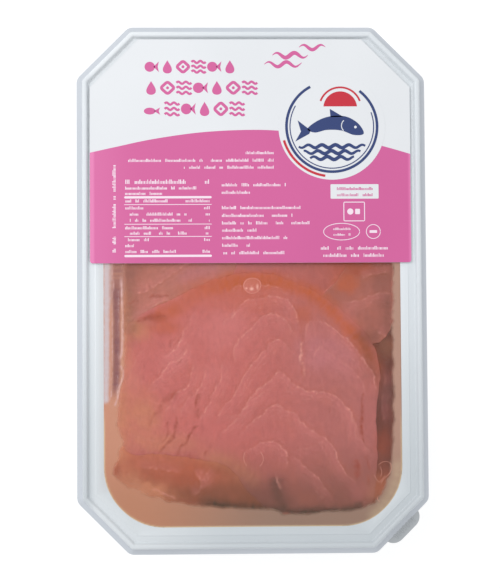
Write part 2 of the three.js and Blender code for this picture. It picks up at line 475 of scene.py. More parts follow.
@dataclass(frozen=True)
class TintedOil(Dress):
    """Oil tinted by the fish: clear over the slices and tan where there is nothing under it."""

    name: str = "tinted_oil"
    # Darker towards the lower right: partly the oil's own colour, partly painted shade where the light
    # falls off from the upper left.
    left: Tone = Tone(208, 146, 120)
    right: Tone = Tone(188, 146, 128)
    low_left: Tone = Tone(192, 132, 103)
    low_right: Tone = Tone(155, 124, 107)
    TONES = (
        (Mark.FAT, Tone(205, 134, 88)),
        # Painted shade in the air strip.
        (Mark.PLUM, Tone(142, 92, 94)),
        # The pale wall band at the oil's edge.
        (Mark.HAZE_AND_RIM_SHEEN, Tone(214, 200, 204)),
        # Painted highlights on the meniscus.
        (Mark.SHINE, Tone(230, 184, 180)),
        # Painted highlight along the cavity edge.
        (Mark.GOLD, Tone(228, 204, 166)),
    )
    ACROSS = (-48.0, 14.0)
    DOWN = (-48.0, -86.0)

    def shader(self, finish: Finish) -> bpy.types.Node:
        """Builds the nodes.

        Args:
            finish: The material's node tree.

        Returns:
            The shader.
        """
        clouds = finish.noise(19)
        # Partly painted shade: the oil darkens towards the lower right.
        across = finish.ramp(0, *self.ACROSS)
        upper = finish.mix(self.left.base(), self.right.base(), across)
        lower = finish.mix(self.low_left.base(), self.low_right.base(), across)
        colour = finish.mix(upper, lower, finish.ramp(1, *self.DOWN))
        colour = finish.marked(colour, self.TONES)
        skin = finish.surface(
            Base_Color=finish.shaded(colour, clouds, 0.03),
            Roughness=(clouds * 0.03 + 0.2).clamped(),
            Specular_IOR_Level=0.3,
            Normal=finish.bump(clouds, 0.05),
        )
        return finish.over_clear(finish.mask(Mark.COVER.value).clamped(), skin)


@dataclass(frozen=True)
class SalmonFlesh(Dress):
    """Wet smoked salmon. The marks on the mesh say where its colours change."""

    flesh: Tone
    right: Tone
    low: Tone
    warm: Tone = Tone(204, 111, 85)
    seam: Tone = Tone(232, 158, 144)
    # Painted shade inside the splits.
    gape: Tone = Tone(158, 72, 54)
    TONES = (
        (Mark.MAUVE, Tone(193, 115, 117)),
        (Mark.FAT, Tone(193, 91, 50)),
        # Orange-brown flesh, and painted shade: the dark side of each band by a seam, and the shadow under
        # the upper left slice.
        (Mark.RUST_AND_SHADE, Tone(177, 79, 49)),
        (Mark.DULL, Tone(202, 128, 94)),
        # Dark skin at the bottom edge, and painted shade along slice edges where the flesh drops away.
        (Mark.GREY, Tone(64, 51, 37)),
        # Painted light on the lighter side of each band by a seam, and paler patches of flesh.
        (Mark.GLOW, Tone(209, 119, 116)),
    )
    # Darker towards the right and the bottom: partly the flesh's own colour, partly painted shade.
    ACROSS = (-8.0, 36.0)
    DOWN = (-50.0, -84.0)
    FIBRE = Vector((1.0, 0.45, 1.0))
    FLECKS = (0.7, 1.4)

    def shader(self, finish: Finish) -> bpy.types.Node:
        """Builds the nodes.

        Args:
            finish: The material's node tree.

        Returns:
            The shader.
        """
        clouds = finish.noise(9, 3)
        mottle = finish.noise(2.2, 4)
        grain = finish.noise(0.7, 3)
        fibre = finish.noise(1.4, 3, self.FIBRE)
        # Partly painted shade where the light falls off from the upper left, partly the flesh's own
        # colour.
        colour = finish.mix(self.flesh.base(), self.right.base(), finish.ramp(0, *self.ACROSS))
        colour = finish.mix(colour, self.low.base(), finish.ramp(1, *self.DOWN))
        colour = finish.mix(colour, self.warm.base(), (clouds * 0.22).clamped())
        colour = finish.shaded(colour, mottle, 0.085)
        colour = finish.marked(colour, self.TONES, 1.0 + mottle * 0.25)
        flecks = grain.rise(*self.FLECKS) * 0.25
        line = (finish.mask(Mark.SEAM.value) * (1.0 + grain * 0.7) + flecks).clamped()
        colour = finish.mix(colour, self.seam.base(), line)
        colour = finish.marked(colour, ((Mark.GAPE, self.gape),))
        return finish.surface(
            Base_Color=finish.shaded(colour, fibre + grain, 0.105),
            Roughness=(fibre * 0.05 + 0.38).clamped(),
            Specular_IOR_Level=0.35,
            Normal=finish.bump(fibre + mottle, 0.03),
        )


@dataclass(frozen=True)
class BubbleSkin(Dress):
    """The skin of a flat air bubble: it shows the fish under it, with a pale rim and three glints that are
    painted highlights.
    """

    name: str = "bubble_skin"
    upper: Tone = Tone(200, 106, 84)
    lower: Tone = Tone(206, 112, 98)
    # Painted highlights: the rim and the glints.
    rim: Tone = Tone(226, 142, 124)
    glint: Tone = Tone(246, 182, 166)
    middle: float = 1.0
    half: float = 3.0

    def shader(self, finish: Finish) -> bpy.types.Node:
        """Builds the nodes.

        Args:
            finish: The material's node tree.

        Returns:
            The shader.
        """
        up = finish.ramp(1, self.middle - self.half, self.middle + self.half)
        colour = finish.mix(self.lower.base(), self.upper.base(), up)
        # Painted highlights: the pale rim and the glints.
        colour = finish.marked(colour, ((Mark.HAZE_AND_RIM_SHEEN, self.rim), (Mark.SHINE, self.glint)))
        return finish.surface(
            Base_Color=finish.shaded(colour, finish.noise(1.5, 1), 0.04),
            Roughness=0.3,
        )


@dataclass(frozen=True)
class StudioPaper(Dress):
    """The pale floor."""

    name: str = "studio_paper"
    base: Rgba = (0.3, 0.3, 0.3, 1.0)
    lift: float = 0.8

    def shader(self, finish: Finish) -> bpy.types.Node:
        """Builds the nodes.

        Args:
            finish: The material's node tree.

        Returns:
            The shader.
        """
        return finish.surface(
            Base_Color=finish.shaded(self.base, finish.noise(90), 0.01),
            Roughness=0.7,
            Specular_IOR_Level=0.2,
            Emission_Color=(1.0, 1.0, 1.0, 1.0),
            Emission_Strength=self.lift,
        )


@cache
def material_of(finish: Dress) -> bpy.types.Material:
    """The material of a finish, built once."""
    return finish.material()


# ---------------------------------------------------------------- outlines and paths


TINY = 1e-9
KNOT_STEPS = 24
LEAST_POINTS = 3
BATCH = 4000


def run_along(line: np.ndarray) -> np.ndarray:
    """How far along a line each of its points lies."""
    return np.concatenate([[0.0], np.cumsum(np.linalg.norm(np.diff(line, axis=0), axis=1))])


def resampled(line: np.ndarray, run: np.ndarray, count: int, closed: bool) -> np.ndarray:
    """A line as even steps, given how far along it each of its points lies."""
    at = np.linspace(0, run[-1], count, endpoint=not closed)
    return np.column_stack([np.interp(at, run, line[:, axis]) for axis in (0, 1)])


def smooth_loop(outline: np.ndarray, step: float) -> np.ndarray:
    """A closed outline as even steps, its corners kept.

    Args:
        outline: Its points.
        step: The distance between the new ones, in millimetres.

    Returns:
        The new points.
    """
    line = np.vstack([outline, outline[:1]])
    run = run_along(line)
    return resampled(line, run, int(run[-1] / step), True)


def smooth_path(knots: Sequence[Sequence[float]], closed: bool, step: float) -> np.ndarray:
    """A centripetal curve through knots, as even steps.

    Args:
        knots: The points that it goes through.
        closed: Whether it ends where it starts.
        step: The distance between its points, in millimetres.

    Returns:
        An array of points.
    """
    given = np.asarray(knots, float)
    if closed:
        padded = np.vstack([given[-1:], given, given[:2]])
    else:
        padded = np.vstack([2 * given[0] - given[1], given, 2 * given[-1] - given[-2]])
    fine: list[np.ndarray] = []
    for p0, p1, p2, p3 in zip(padded, padded[1:], padded[2:], padded[3:]):
        t1 = math.sqrt(np.linalg.norm(p1 - p0) + TINY)
        t2 = t1 + math.sqrt(np.linalg.norm(p2 - p1) + TINY)
        t3 = t2 + math.sqrt(np.linalg.norm(p3 - p2) + TINY)
        t = np.linspace(t1, t2, KNOT_STEPS, endpoint=False)[:, None]
        a1 = p0 + (p1 - p0) * t / t1
        a2 = p1 + (p2 - p1) * (t - t1) / (t2 - t1)
        a3 = p2 + (p3 - p2) * (t - t2) / (t3 - t2)
        b1 = a1 + (a2 - a1) * t / t2
        b2 = a2 + (a3 - a2) * (t - t1) / (t3 - t1)
        fine.append(b1 + (b2 - b1) * (t - t1) / (t2 - t1))
    line = np.vstack(fine + [given[:1] if closed else given[-1:]])
    run = run_along(line)
    return resampled(line, run, max(int(round(run[-1] / step)), LEAST_POINTS), closed)


def headings(path: np.ndarray) -> np.ndarray:
    """The direction of a path at each of its points."""
    along = np.gradient(path, axis=0)
    return along / np.linalg.norm(along, axis=1)[:, None]


def leftwards(along: np.ndarray) -> np.ndarray:
    """Directions turned a quarter to the left."""
    return np.column_stack([-along[:, 1], along[:, 0]])


def turned(a: np.ndarray, b: np.ndarray, angle: float) -> tuple[np.ndarray, np.ndarray]:
    """Two coordinates of points, turned in their plane."""
    return a * math.cos(angle) - b * math.sin(angle), a * math.sin(angle) + b * math.cos(angle)


def is_inside(outline: np.ndarray, spots: np.ndarray) -> np.ndarray:
    """Tells which spots lie inside a closed outline.

    Args:
        outline: The outline's points.
        spots: The points asked about.

    Returns:
        Whether each spot lies inside.
    """
    x, y = spots[:, 0], spots[:, 1]
    result = np.zeros(len(spots), bool)
    for (x0, y0), (x1, y1) in zip(outline, np.roll(outline, -1, axis=0)):
        if y0 != y1:
            crosses = (y0 > y) != (y1 > y)
            result ^= crosses & (x < x0 + (y - y0) * (x1 - x0) / (y1 - y0))
    return result


def nearest(path: np.ndarray, spots: np.ndarray) -> tuple[np.ndarray, np.ndarray]:
    """The path's nearest point to each spot.

    Args:
        path: The path's points.
        spots: The points asked about.

    Returns:
        The place of the nearest point in the path, and the distance to it.
    """
    places = np.empty(len(spots), int)
    distances = np.empty(len(spots))
    for start in range(0, len(spots), BATCH):
        batch = spots[start:start + BATCH]
        gaps = ((batch[:, None, :] - path[None, :, :]) ** 2).sum(2)
        best = gaps.argmin(1)
        places[start:start + BATCH] = best
        distances[start:start + BATCH] = np.sqrt(gaps[np.arange(len(batch)), best])
    return places, distances


def ease(share: np.ndarray) -> np.ndarray:
    """A smooth step from 0 to 1."""
    t = np.clip(share, 0, 1)
    return t * t * (3 - 2 * t)


class Waves:
    """Smooth seeded unevenness, from about -1 to 1."""

    COUNT = 10
    LENGTHS = (0.6, 1.5)
    SPREAD = 1.6

    def __init__(self, seed: int, wavelength: float) -> None:
        """Draws the waves.

        Args:
            seed: The seed of their directions, lengths and phases.
            wavelength: Their usual length in millimetres.
        """
        draw = np.random.default_rng(seed)
        angle = draw.uniform(0, 2 * math.pi, self.COUNT)
        pace = 2 * math.pi / (wavelength * draw.uniform(*self.LENGTHS, self.COUNT))
        self.rates = np.column_stack([np.cos(angle) * pace, np.sin(angle) * pace])
        self.phases = draw.uniform(0, 2 * math.pi, self.COUNT)

    def at(self, spots: np.ndarray) -> np.ndarray:
        """The unevenness at each spot."""
        total = np.sin(spots @ self.rates.T + self.phases).sum(1)
        return total / math.sqrt(self.COUNT * self.SPREAD)


def layered(spots: np.ndarray, *layers: tuple[int, float, float]) -> np.ndarray:
    """Unevenness in layers, each with its seed, wavelength and depth."""
    return sum(depth * Waves(seed, wavelength).at(spots) for seed, wavelength, depth in layers)


def chamfered(half: tuple[float, float], chamfer: float, radius: float, steps: int) -> np.ndarray:
    """The outline of a rectangle with four chamfers and eight rounded corners.

    Args:
        half: Half its width and half its length.
        chamfer: How far a chamfer takes off each side.
        radius: The radius of the corners.
        steps: The steps in each corner.

    Returns:
        The outline's points, anticlockwise.
    """
    x, y = half
    side = [(x, chamfer - y), (x, y - chamfer), (x - chamfer, y), (chamfer - x, y)]
    corners = side + [(-corner_x, -corner_y) for corner_x, corner_y in side]
    setback = radius * math.tan(math.pi / 8)
    points = []
    for index, (corner_x, corner_y) in enumerate(corners):
        heading = (index + 1) * math.pi / 4
        centre_x = corner_x - setback * math.cos(heading) - radius * math.sin(heading)
        centre_y = corner_y - setback * math.sin(heading) + radius * math.cos(heading)
        for step in range(steps + 1):
            angle = heading - math.pi / 2 + step / steps * math.pi / 4
            points.append((centre_x + radius * math.cos(angle), centre_y + radius * math.sin(angle)))
    return np.array(points)


CORNER_REACH = 0.4
CORNER_GUARD = 1.15


def softened(profile: Sequence[tuple[float, float]], radius: float) -> list[tuple[float, float]]:
    """A profile with its inner corners rounded.

    Args:
        profile: The profile's corners.
        radius: How far before and after a corner the rounding starts, at most.

    Returns:
        The rounded profile, with a point beside each rounding that keeps the flats flat.
    """
    line = [np.array(point) for point in profile]
    result = [line[0]]
    for before, corner, after in zip(line, line[1:], line[2:]):
        back = before - corner
        ahead = after - corner
        sides = (CORNER_REACH * np.linalg.norm(back), CORNER_REACH * np.linalg.norm(ahead))
        reach = min(radius, *sides)
        start = corner + back / np.linalg.norm(back) * reach
        end = corner + ahead / np.linalg.norm(ahead) * reach
        result.append(corner + (start - corner) * CORNER_GUARD)
        for share in (0.0, 0.25, 0.5, 0.75, 1.0):
            bend = (1 - share) ** 2 * start + 2 * share * (1 - share) * corner + share ** 2 * end
            result.append(bend)
        result.append(corner + (end - corner) * CORNER_GUARD)
    result.append(line[-1])
    return [(float(point[0]), float(point[1])) for point in result]


# ---------------------------------------------------------------- meshes


Faces = list[tuple[int, ...]]


def placed(name: str, data: bpy.types.ID) -> bpy.types.Object:
    """Puts a new object into the scene."""
    made = bpy.data.objects.new(name, data)
    bpy.context.scene.collection.objects.link(made)
    return made


@dataclass
class Shape:
    """Points in millimetres and the faces between them."""

    points: np.ndarray
    faces: Faces
    marks: dict[str, np.ndarray] = field(default_factory=dict)
    rounded: int | None = None

    def plus(self, other: "Shape") -> "Shape":
        """This shape and another as one; their marks aren't kept."""
        moved = [tuple(index + len(self.points) for index in face) for face in other.faces]
        return Shape(np.vstack([self.points, other.points]), self.faces + moved)

    def piece(self, name: str, smooth: bool = True) -> bpy.types.Object:
        """Makes a mesh object at the origin.

        Args:
            name: The object's name.
            smooth: Whether its faces shade smoothly. Flat caps, with over four sides, never do,
                nor does any face past the first "rounded" ones where that number is set.

        Returns:
            The object.
        """
        mesh = bpy.data.meshes.new(name)
        mesh.from_pydata((self.points * MM).tolist(), [], self.faces)
        rounded = len(self.faces) if self.rounded is None else self.rounded
        soft = [smooth and len(face) <= 4 and index < rounded for index, face in enumerate(self.faces)]
        mesh.polygons.foreach_set("use_smooth", soft)
        for mark, values in self.marks.items():
            layer = mesh.attributes.new(mark, "FLOAT", "POINT")
            layer.data.foreach_set("value", np.asarray(values, np.float32))
        mesh.update()
        return placed(name, mesh)


def stacked(rings: Sequence[np.ndarray]) -> Shape:
    """A solid over rings that run up or round, with a flat cap on the first and the last.

    Args:
        rings: Rings of equal point counts, each point with its height, anticlockwise from
            above where they run upwards.

    Returns:
        The closed solid.
    """
    count = len(rings[0])
    faces: Faces = []
    for level in range(len(rings) - 1):
        for side in range(count):
            a = level * count + side
            b = level * count + (side + 1) % count
            faces.append((a, b, b + count, a + count))
    faces.append(tuple(reversed(range(count))))
    faces.append(tuple(range((len(rings) - 1) * count, len(rings) * count)))
    return Shape(np.vstack(rings), faces)


def level_ring(outline: np.ndarray, height: float) -> np.ndarray:
    """An outline at a height."""
    return np.column_stack([outline, np.full(len(outline), height)])


def plate(outline: np.ndarray, bottom: float, top: float) -> Shape:
    """A flat plate over an anticlockwise outline."""
    return stacked([level_ring(outline, bottom), level_ring(outline, top)])


MARGIN = 1.5
EDGE_GAP = 0.3
RELAX_ROUNDS = 3


def patchwork(outline: np.ndarray, step: float) -> tuple[np.ndarray, Faces, list[int]]:
    """A grid of squares clipped to an outline.

    Args:
        outline: The outline's points.
        step: The size of a square.

    Returns:
        The points, the squares, and the points along the outline in order.
    """
    low = outline.min(0) - MARGIN * step
    columns, rows = np.ceil((outline.max(0) + MARGIN * step - low) / step).astype(int)
    grid_y, grid_x = np.mgrid[0:rows, 0:columns]
    middles = low + step * (np.column_stack([grid_x.ravel(), grid_y.ravel()]) + 0.5)
    kept = is_inside(outline, middles)
    distance = nearest(outline, middles[kept])[1]
    kept[np.flatnonzero(kept)[distance < EDGE_GAP * step]] = False
    cell = np.flatnonzero(kept)
    start = (cell // columns) * (columns + 1) + cell % columns
    squares = np.column_stack([start, start + 1, start + columns + 2, start + columns + 1])
    used, squares = np.unique(squares, return_inverse=True)
    squares = squares.reshape(-1, 4)
    spots = low + step * np.column_stack([used % (columns + 1), used // (columns + 1)])
    sides = np.vstack([squares[:, [k, (k + 1) % 4]] for k in range(4)])
    known = set(map(tuple, sides.tolist()))
    ahead = {a: b for a, b in known if (b, a) not in known}
    loop = [min(ahead)]
    while ahead[loop[-1]] != loop[0]:
        loop.append(ahead[loop[-1]])
    spots[loop] = outline[nearest(outline, spots[loop])[0]]
    fixed = np.zeros(len(spots), bool)
    fixed[loop] = True
    for _ in range(RELAX_ROUNDS):
        total = np.zeros_like(spots)
        times = np.zeros(len(spots))
        for a, b in ((0, 1), (1, 0), (1, 2), (2, 1), (2, 3), (3, 2), (3, 0), (0, 3)):
            np.add.at(total, squares[:, a], spots[squares[:, b]])
            np.add.at(times, squares[:, a], 1)
        spots[~fixed] = (total / times[:, None])[~fixed]
    return spots, [tuple(square) for square in squares.tolist()], loop


EDGE_SPAN = 4


def thick_sheet(
    spots: np.ndarray,
    squares: Faces,
    loop: list[int],
    heights: np.ndarray,
    skirt: Sequence[tuple[float, float]],
) -> Shape:
    """Closes a sheet downwards to a flat underside.

    Args:
        spots: The sheet's points in plan.
        squares: Its faces.
        loop: The points along its edge, in order.
        heights: The height of each point.
        skirt: The rings below its edge, each as its distance in from the edge and its height.

    Returns:
        The closed solid. The points of its skirt come last, a loop at a time.
    """
    edge = spots[loop]
    inward = leftwards(np.roll(edge, -EDGE_SPAN, axis=0) - np.roll(edge, EDGE_SPAN, axis=0))
    inward /= np.maximum(np.linalg.norm(inward, axis=1), TINY)[:, None]
    rings = [level_ring(edge + inset * inward, height) for inset, height in skirt]
    count = len(loop)
    upper = list(loop)
    faces = list(squares)
    start = len(spots)
    for _ in rings:
        lower = list(range(start, start + count))
        for k in range(count):
            following = (k + 1) % count
            faces.append((upper[k], lower[k], lower[following], upper[following]))
        upper = lower
        start += count
    faces.append(tuple(reversed(upper)))
    points = np.vstack([np.column_stack([spots, heights]), *rings])
    return Shape(points, faces, rounded=len(squares))


def with_skirt(values: np.ndarray, loop: list[int], rings: int) -> np.ndarray:
    """A sheet's values, carried down its skirt."""
    return np.concatenate([values, *[values[loop]] * rings])


def declare(
    piece: bpy.types.Object,
    material: bpy.types.Material,
    nodes: Sequence[str] = (),
) -> None:
    """Dresses a piece and tells the frame about it.

    Args:
        piece: The finished mesh object.
        material: Its material.
        nodes: The nodes that it replaces.
    """
    piece.data.materials.clear()
    piece.data.materials.append(material)
    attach(piece, BODY)
    if nodes:
        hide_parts(*nodes)
    log.info("%s: %d faces in %s", piece.name, len(piece.data.polygons), material.name)


def let_light_through(piece: bpy.types.Object) -> None:
    """Keeps a clear piece from shading what lies under it."""
    piece.visible_shadow = False
    piece.visible_diffuse = False


# ---------------------------------------------------------------- shapes made by rules


class RuleShape:
    """A Geometry Nodes tree that turns guide lines into a mesh."""

    def __init__(self, name: str, sizes: dict[str, float | int]) -> None:
        """Starts the tree.

        Args:
            name: The tree's name.
            sizes: Its named inputs and their first values.
        """
        self.tree = bpy.data.node_groups.new(name, "GeometryNodeTree")
        self.graph = Graph(self.tree)
        self.socket("Guide", "Geometry")
        for key, value in sizes.items():
            self.socket(key, "Int" if isinstance(value, int) else "Float").default_value = value
        self.socket("Finish", "Material")
        self.socket("Mesh", "Geometry", "OUTPUT")
        self.given = self.graph.node("NodeGroupInput").outputs

    def socket(self, name: str, kind: str, way: str = "INPUT") -> bpy.types.NodeTreeInterfaceSocket:
        """Adds a socket to the tree's interface."""
        return self.tree.interface.new_socket(name, in_out=way, socket_type="NodeSocket" + kind)

    def line(self) -> bpy.types.NodeSocket:
        """The guide lines as curves."""
        return self.graph.node("GeometryNodeMeshToCurve", None, {0: self.given["Guide"]}).outputs[0]

    def wire(self, name: str) -> Wire:
        """A named size as a number for sums."""
        return Wire(self.graph, self.given[name])

    def close(self, mesh: bpy.types.NodeSocket) -> None:
        """Ends the tree: realized instances with the finish set on them.

        Args:
            mesh: The socket that gives the instances.
        """
        solid = self.graph.node("GeometryNodeRealizeInstances", None, {0: mesh}).outputs[0]
        sockets = {"Geometry": solid, "Material": self.given["Finish"]}
        dressed = self.graph.node("GeometryNodeSetMaterial", None, sockets).outputs[0]
        self.graph.node("NodeGroupOutput", None, {0: dressed})

    def made(
        self,
        name: str,
        guides: Sequence[np.ndarray],
        material: bpy.types.Material,
        **sizes: float | int,
    ) -> bpy.types.Object:
        """Runs the tree over guide lines and keeps the result as a plain mesh.

        Args:
            name: The piece's name.
            guides: Each guide line's points in millimetres.
            material: The finish of the mesh.
            sizes: Values for the tree's named inputs.

        Returns:
            The finished object.
        """
        points = np.vstack(guides)
        edges = []
        start = 0
        for guide in guides:
            edges += [(start + k, start + k + 1) for k in range(len(guide) - 1)]
            start += len(guide)
        mesh = bpy.data.meshes.new(name + "_guide")
        mesh.from_pydata((points * MM).tolist(), edges, [])
        guide_object = placed(name + "_guide", mesh)
        modifier = guide_object.modifiers.new("rule", "NODES")
        modifier.node_group = self.tree
        for item in self.tree.interface.items_tree:
            if item.in_out == "INPUT" and item.name in sizes:
                modifier[item.identifier] = sizes[item.name]
            elif item.in_out == "INPUT" and item.name == "Finish":
                modifier[item.identifier] = material
        graph = bpy.context.evaluated_depsgraph_get()
        result = bpy.data.meshes.new_from_object(guide_object.evaluated_get(graph))
        bpy.data.objects.remove(guide_object)
        return placed(name, result)


class PrintRule(RuleShape):
    """Fine upright strokes in groups along guide lines, as rows of small print."""

    GROUP = 3
    WIDTHS = (0.8, 1.5)
    SHORT_CHANCE = 0.65
    SHORT_BY = 0.34
    SEED_STEP = 100.0

    def __init__(self) -> None:
        """Builds the tree."""
        super().__init__("fine_print", {
            "Pitch": 0.0005, "Width": 0.0002, "Height": 0.0012, "Thickness": 0.0001,
            "Gaps": 0.16, "Seed": 1,
        })
        node = self.graph.node
        sockets = {0: self.line(), "Length": self.given["Pitch"]}
        spaced = node("GeometryNodeCurveToPoints", {"mode": "LENGTH"}, sockets)
        place = Wire(self.graph, node("GeometryNodeInputIndex").outputs[0])
        gap = self.chance(0.0, 1.0, 0, (place * (1 / self.GROUP)).whole()).below(self.wire("Gaps"))
        sockets = {"Geometry": spaced.outputs["Points"], "Selection": gap}
        groups = node("GeometryNodeDeleteGeometry", {"domain": "POINT"}, sockets).outputs[0]
        width = self.wire("Width") * self.chance(*self.WIDTHS, 1)
        short = self.chance(0.0, 1.0, 2).below(self.SHORT_CHANCE) * self.SHORT_BY
        sockets = {0: width, 1: self.wire("Height") * (1.0 - short), 2: self.given["Thickness"]}
        size = node("ShaderNodeCombineXYZ", None, sockets).outputs[0]
        cube = node("GeometryNodeMeshCube").outputs[0]
        sockets = {"Geometry": cube, "Translation": (0.0, 0.5, 0.0)}
        raised = node("GeometryNodeTransform", None, sockets).outputs[0]
        way = {"Vector": spaced.outputs["Tangent"]}
        turned = node("FunctionNodeAlignRotationToVector", {"axis": "X"}, way).outputs[0]
        sockets = {"Points": groups, "Instance": raised, "Rotation": turned, "Scale": size}
        self.close(node("GeometryNodeInstanceOnPoints", None, sockets).outputs[0])

    def chance(self, low: float, high: float, draw: int, group: Wire | None = None) -> Wire:
        """A random number for each stroke.

        Args:
            low: The smallest number.
            high: The largest.
            draw: Draws with other numbers differ.
            group: Where it is given, strokes with the same number get the same draw.

        Returns:
            The random number.
        """
        sockets = {2: low, 3: high, "Seed": self.wire("Seed") + draw * self.SEED_STEP}
        if group is not None:
            sockets["ID"] = group
        node = self.graph.node("FunctionNodeRandomValue", {"data_type": "FLOAT"}, sockets)
        return Wire(self.graph, node.outputs[1])


class RibRule(RuleShape):
    """Short ribs that stand across a guide line and fan out from its middle."""

    def __init__(self) -> None:
        """Builds the tree."""
        super().__init__("grip_ribs", {
            "Count": 7, "Length": 0.003, "Width": 0.0005, "Height": 0.0005, "Fan": 0.2, "Turn": 0.0,
        })
        node = self.graph.node
        sockets = {0: self.line(), "Count": self.given["Count"]}
        spaced = node("GeometryNodeResampleCurve", {"mode": "COUNT"}, sockets).outputs[0]
        place = Wire(self.graph, node("GeometryNodeInputIndex").outputs[0])
        middle = (self.wire("Count") - 1.0) * 0.5
        turn = self.wire("Turn") + (place - middle) * self.wire("Fan")
        tilt = node("ShaderNodeCombineXYZ", None, {2: turn}).outputs[0]
        sockets = {"Vertices": 12, "Radius": 0.5, "Depth": 1.0}
        rod = node("GeometryNodeMeshCylinder", None, sockets).outputs["Mesh"]
        sockets = {"Geometry": rod, "Rotation": (math.pi / 2, 0.0, 0.0)}
        lying = node("GeometryNodeTransform", None, sockets).outputs[0]
        sockets = {axis: self.given[key] for axis, key in enumerate(("Width", "Length", "Height"))}
        size = node("ShaderNodeCombineXYZ", None, sockets).outputs[0]
        sockets = {"Points": spaced, "Instance": lying, "Rotation": tilt, "Scale": size}
        self.close(node("GeometryNodeInstanceOnPoints", None, sockets).outputs[0])


class ThreadRule(RuleShape):
    """A fine round thread along guide lines."""

    def __init__(self) -> None:
        """Builds the tree."""
        super().__init__("threads", {"Radius": 0.0002, "Sides": 8})
        node = self.graph.node
        sockets = {"Resolution": self.given["Sides"], "Radius": self.given["Radius"]}
        ring = node("GeometryNodeCurvePrimitiveCircle", {"mode": "RADIUS"}, sockets).outputs[0]
        sockets = {0: self.line(), 1: ring, "Fill Caps": True}
        self.close(node("GeometryNodeCurveToMesh", None, sockets).outputs[0])


# ---------------------------------------------------------------- brush marks


@dataclass(frozen=True)
class Stroke:
    """A soft line. Side +1 or -1 keeps it to the left or right of its way."""

    mark: Mark
    points: Points
    width: float
    strength: float
    relief: float = 0.0
    side: int = 0
    ends: float = 0.2
    ragged: float = 0.35
    spindle: bool = False
    power: float = 2.0
    REACH = 3.2
    POINT = 0.05
    SIDE_BLUR = 0.5
    BEADS = ((2.2, 1.0), (0.9, 0.6))

    def weight(self, spots: np.ndarray) -> np.ndarray:
        """How strongly the stroke covers each spot.

        Args:
            spots: Points in plan, in millimetres.

        Returns:
            Numbers from 0 to 1.
        """
        path = smooth_path(self.points, False, PATH_STEP)
        reach = self.REACH * self.width
        result = np.zeros(len(spots))
        near = ((spots > path.min(0) - reach) & (spots < path.max(0) + reach)).all(1)
        if not near.any():
            return result
        close = spots[near]
        place, distance = nearest(path, close)
        along = headings(path)
        offset = close - path[place]
        across = along[place, 0] * offset[:, 1] - along[place, 1] * offset[:, 0]
        share = place / (len(path) - 1)
        fade = ease(np.minimum(share, 1 - share) / self.ends)
        width = self.width * (np.sqrt(fade) + self.POINT) if self.spindle else self.width
        beyond = (place == 0) | (place == len(path) - 1)
        gap = np.where(beyond, distance, np.abs(across))
        value = np.exp(-(gap / width) ** self.power) * (1.0 if self.spindle else fade)
        if self.side:
            value *= ease(0.5 + self.side * across / (self.SIDE_BLUR * self.width))
        seed = len(self.points) * 31 + int(abs(path[0, 0]) * 10)
        layers = [(seed + index, *layer) for index, layer in enumerate(self.BEADS)]
        beads = layered(path, *layers)[place]
        result[near] = value * (1 - self.ragged * ease(0.5 + 0.5 * beads))
        return result


@dataclass(frozen=True)
class Patch:
    """A soft oval patch with an uneven edge."""

    mark: Mark
    x: float
    y: float
    half_x: float
    half_y: float
    strength: float
    turn: float = 0.0
    UNEVEN = (0.22, 7.0)
    FIRMNESS = 1.4

    def weight(self, spots: np.ndarray) -> np.ndarray:
        """How strongly the patch covers each spot.

        Args:
            spots: Points in plan, in millimetres.

        Returns:
            Numbers from 0 to 1.
        """
        u, v = turned(spots[:, 0] - self.x, spots[:, 1] - self.y, -math.radians(self.turn))
        depth, wavelength = self.UNEVEN
        uneven = depth * Waves(int(abs(self.x) * 7 + abs(self.y) * 3), wavelength).at(spots)
        gap = (u / self.half_x) ** 2 + (v / self.half_y) ** 2 + uneven
        return np.exp(-np.maximum(gap, 0) ** self.FIRMNESS)


def patches(mark: Mark, *ovals: tuple[float, ...]) -> tuple[Patch, ...]:
    """Patches of one mark, each given by its middle, half sizes, strength and turn."""
    return tuple(Patch(mark, *oval) for oval in ovals)


def beside(points: Points, gap: float) -> Points:
    """A line's points moved to its left by a gap."""
    line = np.array(points)
    return tuple(map(tuple, line + gap * leftwards(headings(line))))


def seam(points: Points, strength: float = 0.5, side: int = -1, width: float = 0.21) -> tuple[Stroke, ...]:
    """A pale line of tissue with fainter lines along it, the flesh painted lighter on one side of it and
    darker on the other as light and shade on a rounded band.

    Args:
        points: The line's points.
        strength: How pale it is.
        side: The side that is lighter: +1 is left of its way and -1 is right.
        width: Half the line's width.

    Returns:
        The strokes that make it.
    """
    beside_it = tuple(
        Stroke(Mark.SEAM, beside(points, side * gap), 0.2, share * strength, 0.01, ends=0.35, ragged=0.95)
        for gap, share in ((1.7, 0.4), (3.1, 0.3), (-1.6, 0.22))
    )
    return (
        Stroke(Mark.SEAM, points, width, 0.95 * strength, 0.02, ragged=0.85),
        Stroke(Mark.SEAM, points, 3 * width, 0.1 * strength, 0.01, ragged=0.5),
        # Painted light on the lighter side of the seam.
        Stroke(Mark.GLOW, points, 2.8, 0.62 * strength, 0.03, side, ragged=0.2),
        # Painted shade on the other side of the seam.
        Stroke(Mark.RUST_AND_SHADE, points, 1.5, 0.3 * strength, 0.0, -side, ragged=0.2),
        *beside_it,
    )


def gape(points: Points, width: float, strength: float = 0.75) -> Stroke:
    """A split in the flesh, painted dark as the shade inside it."""
    return Stroke(Mark.GAPE, points, width, strength, -0.1, spindle=True, ragged=0.5)


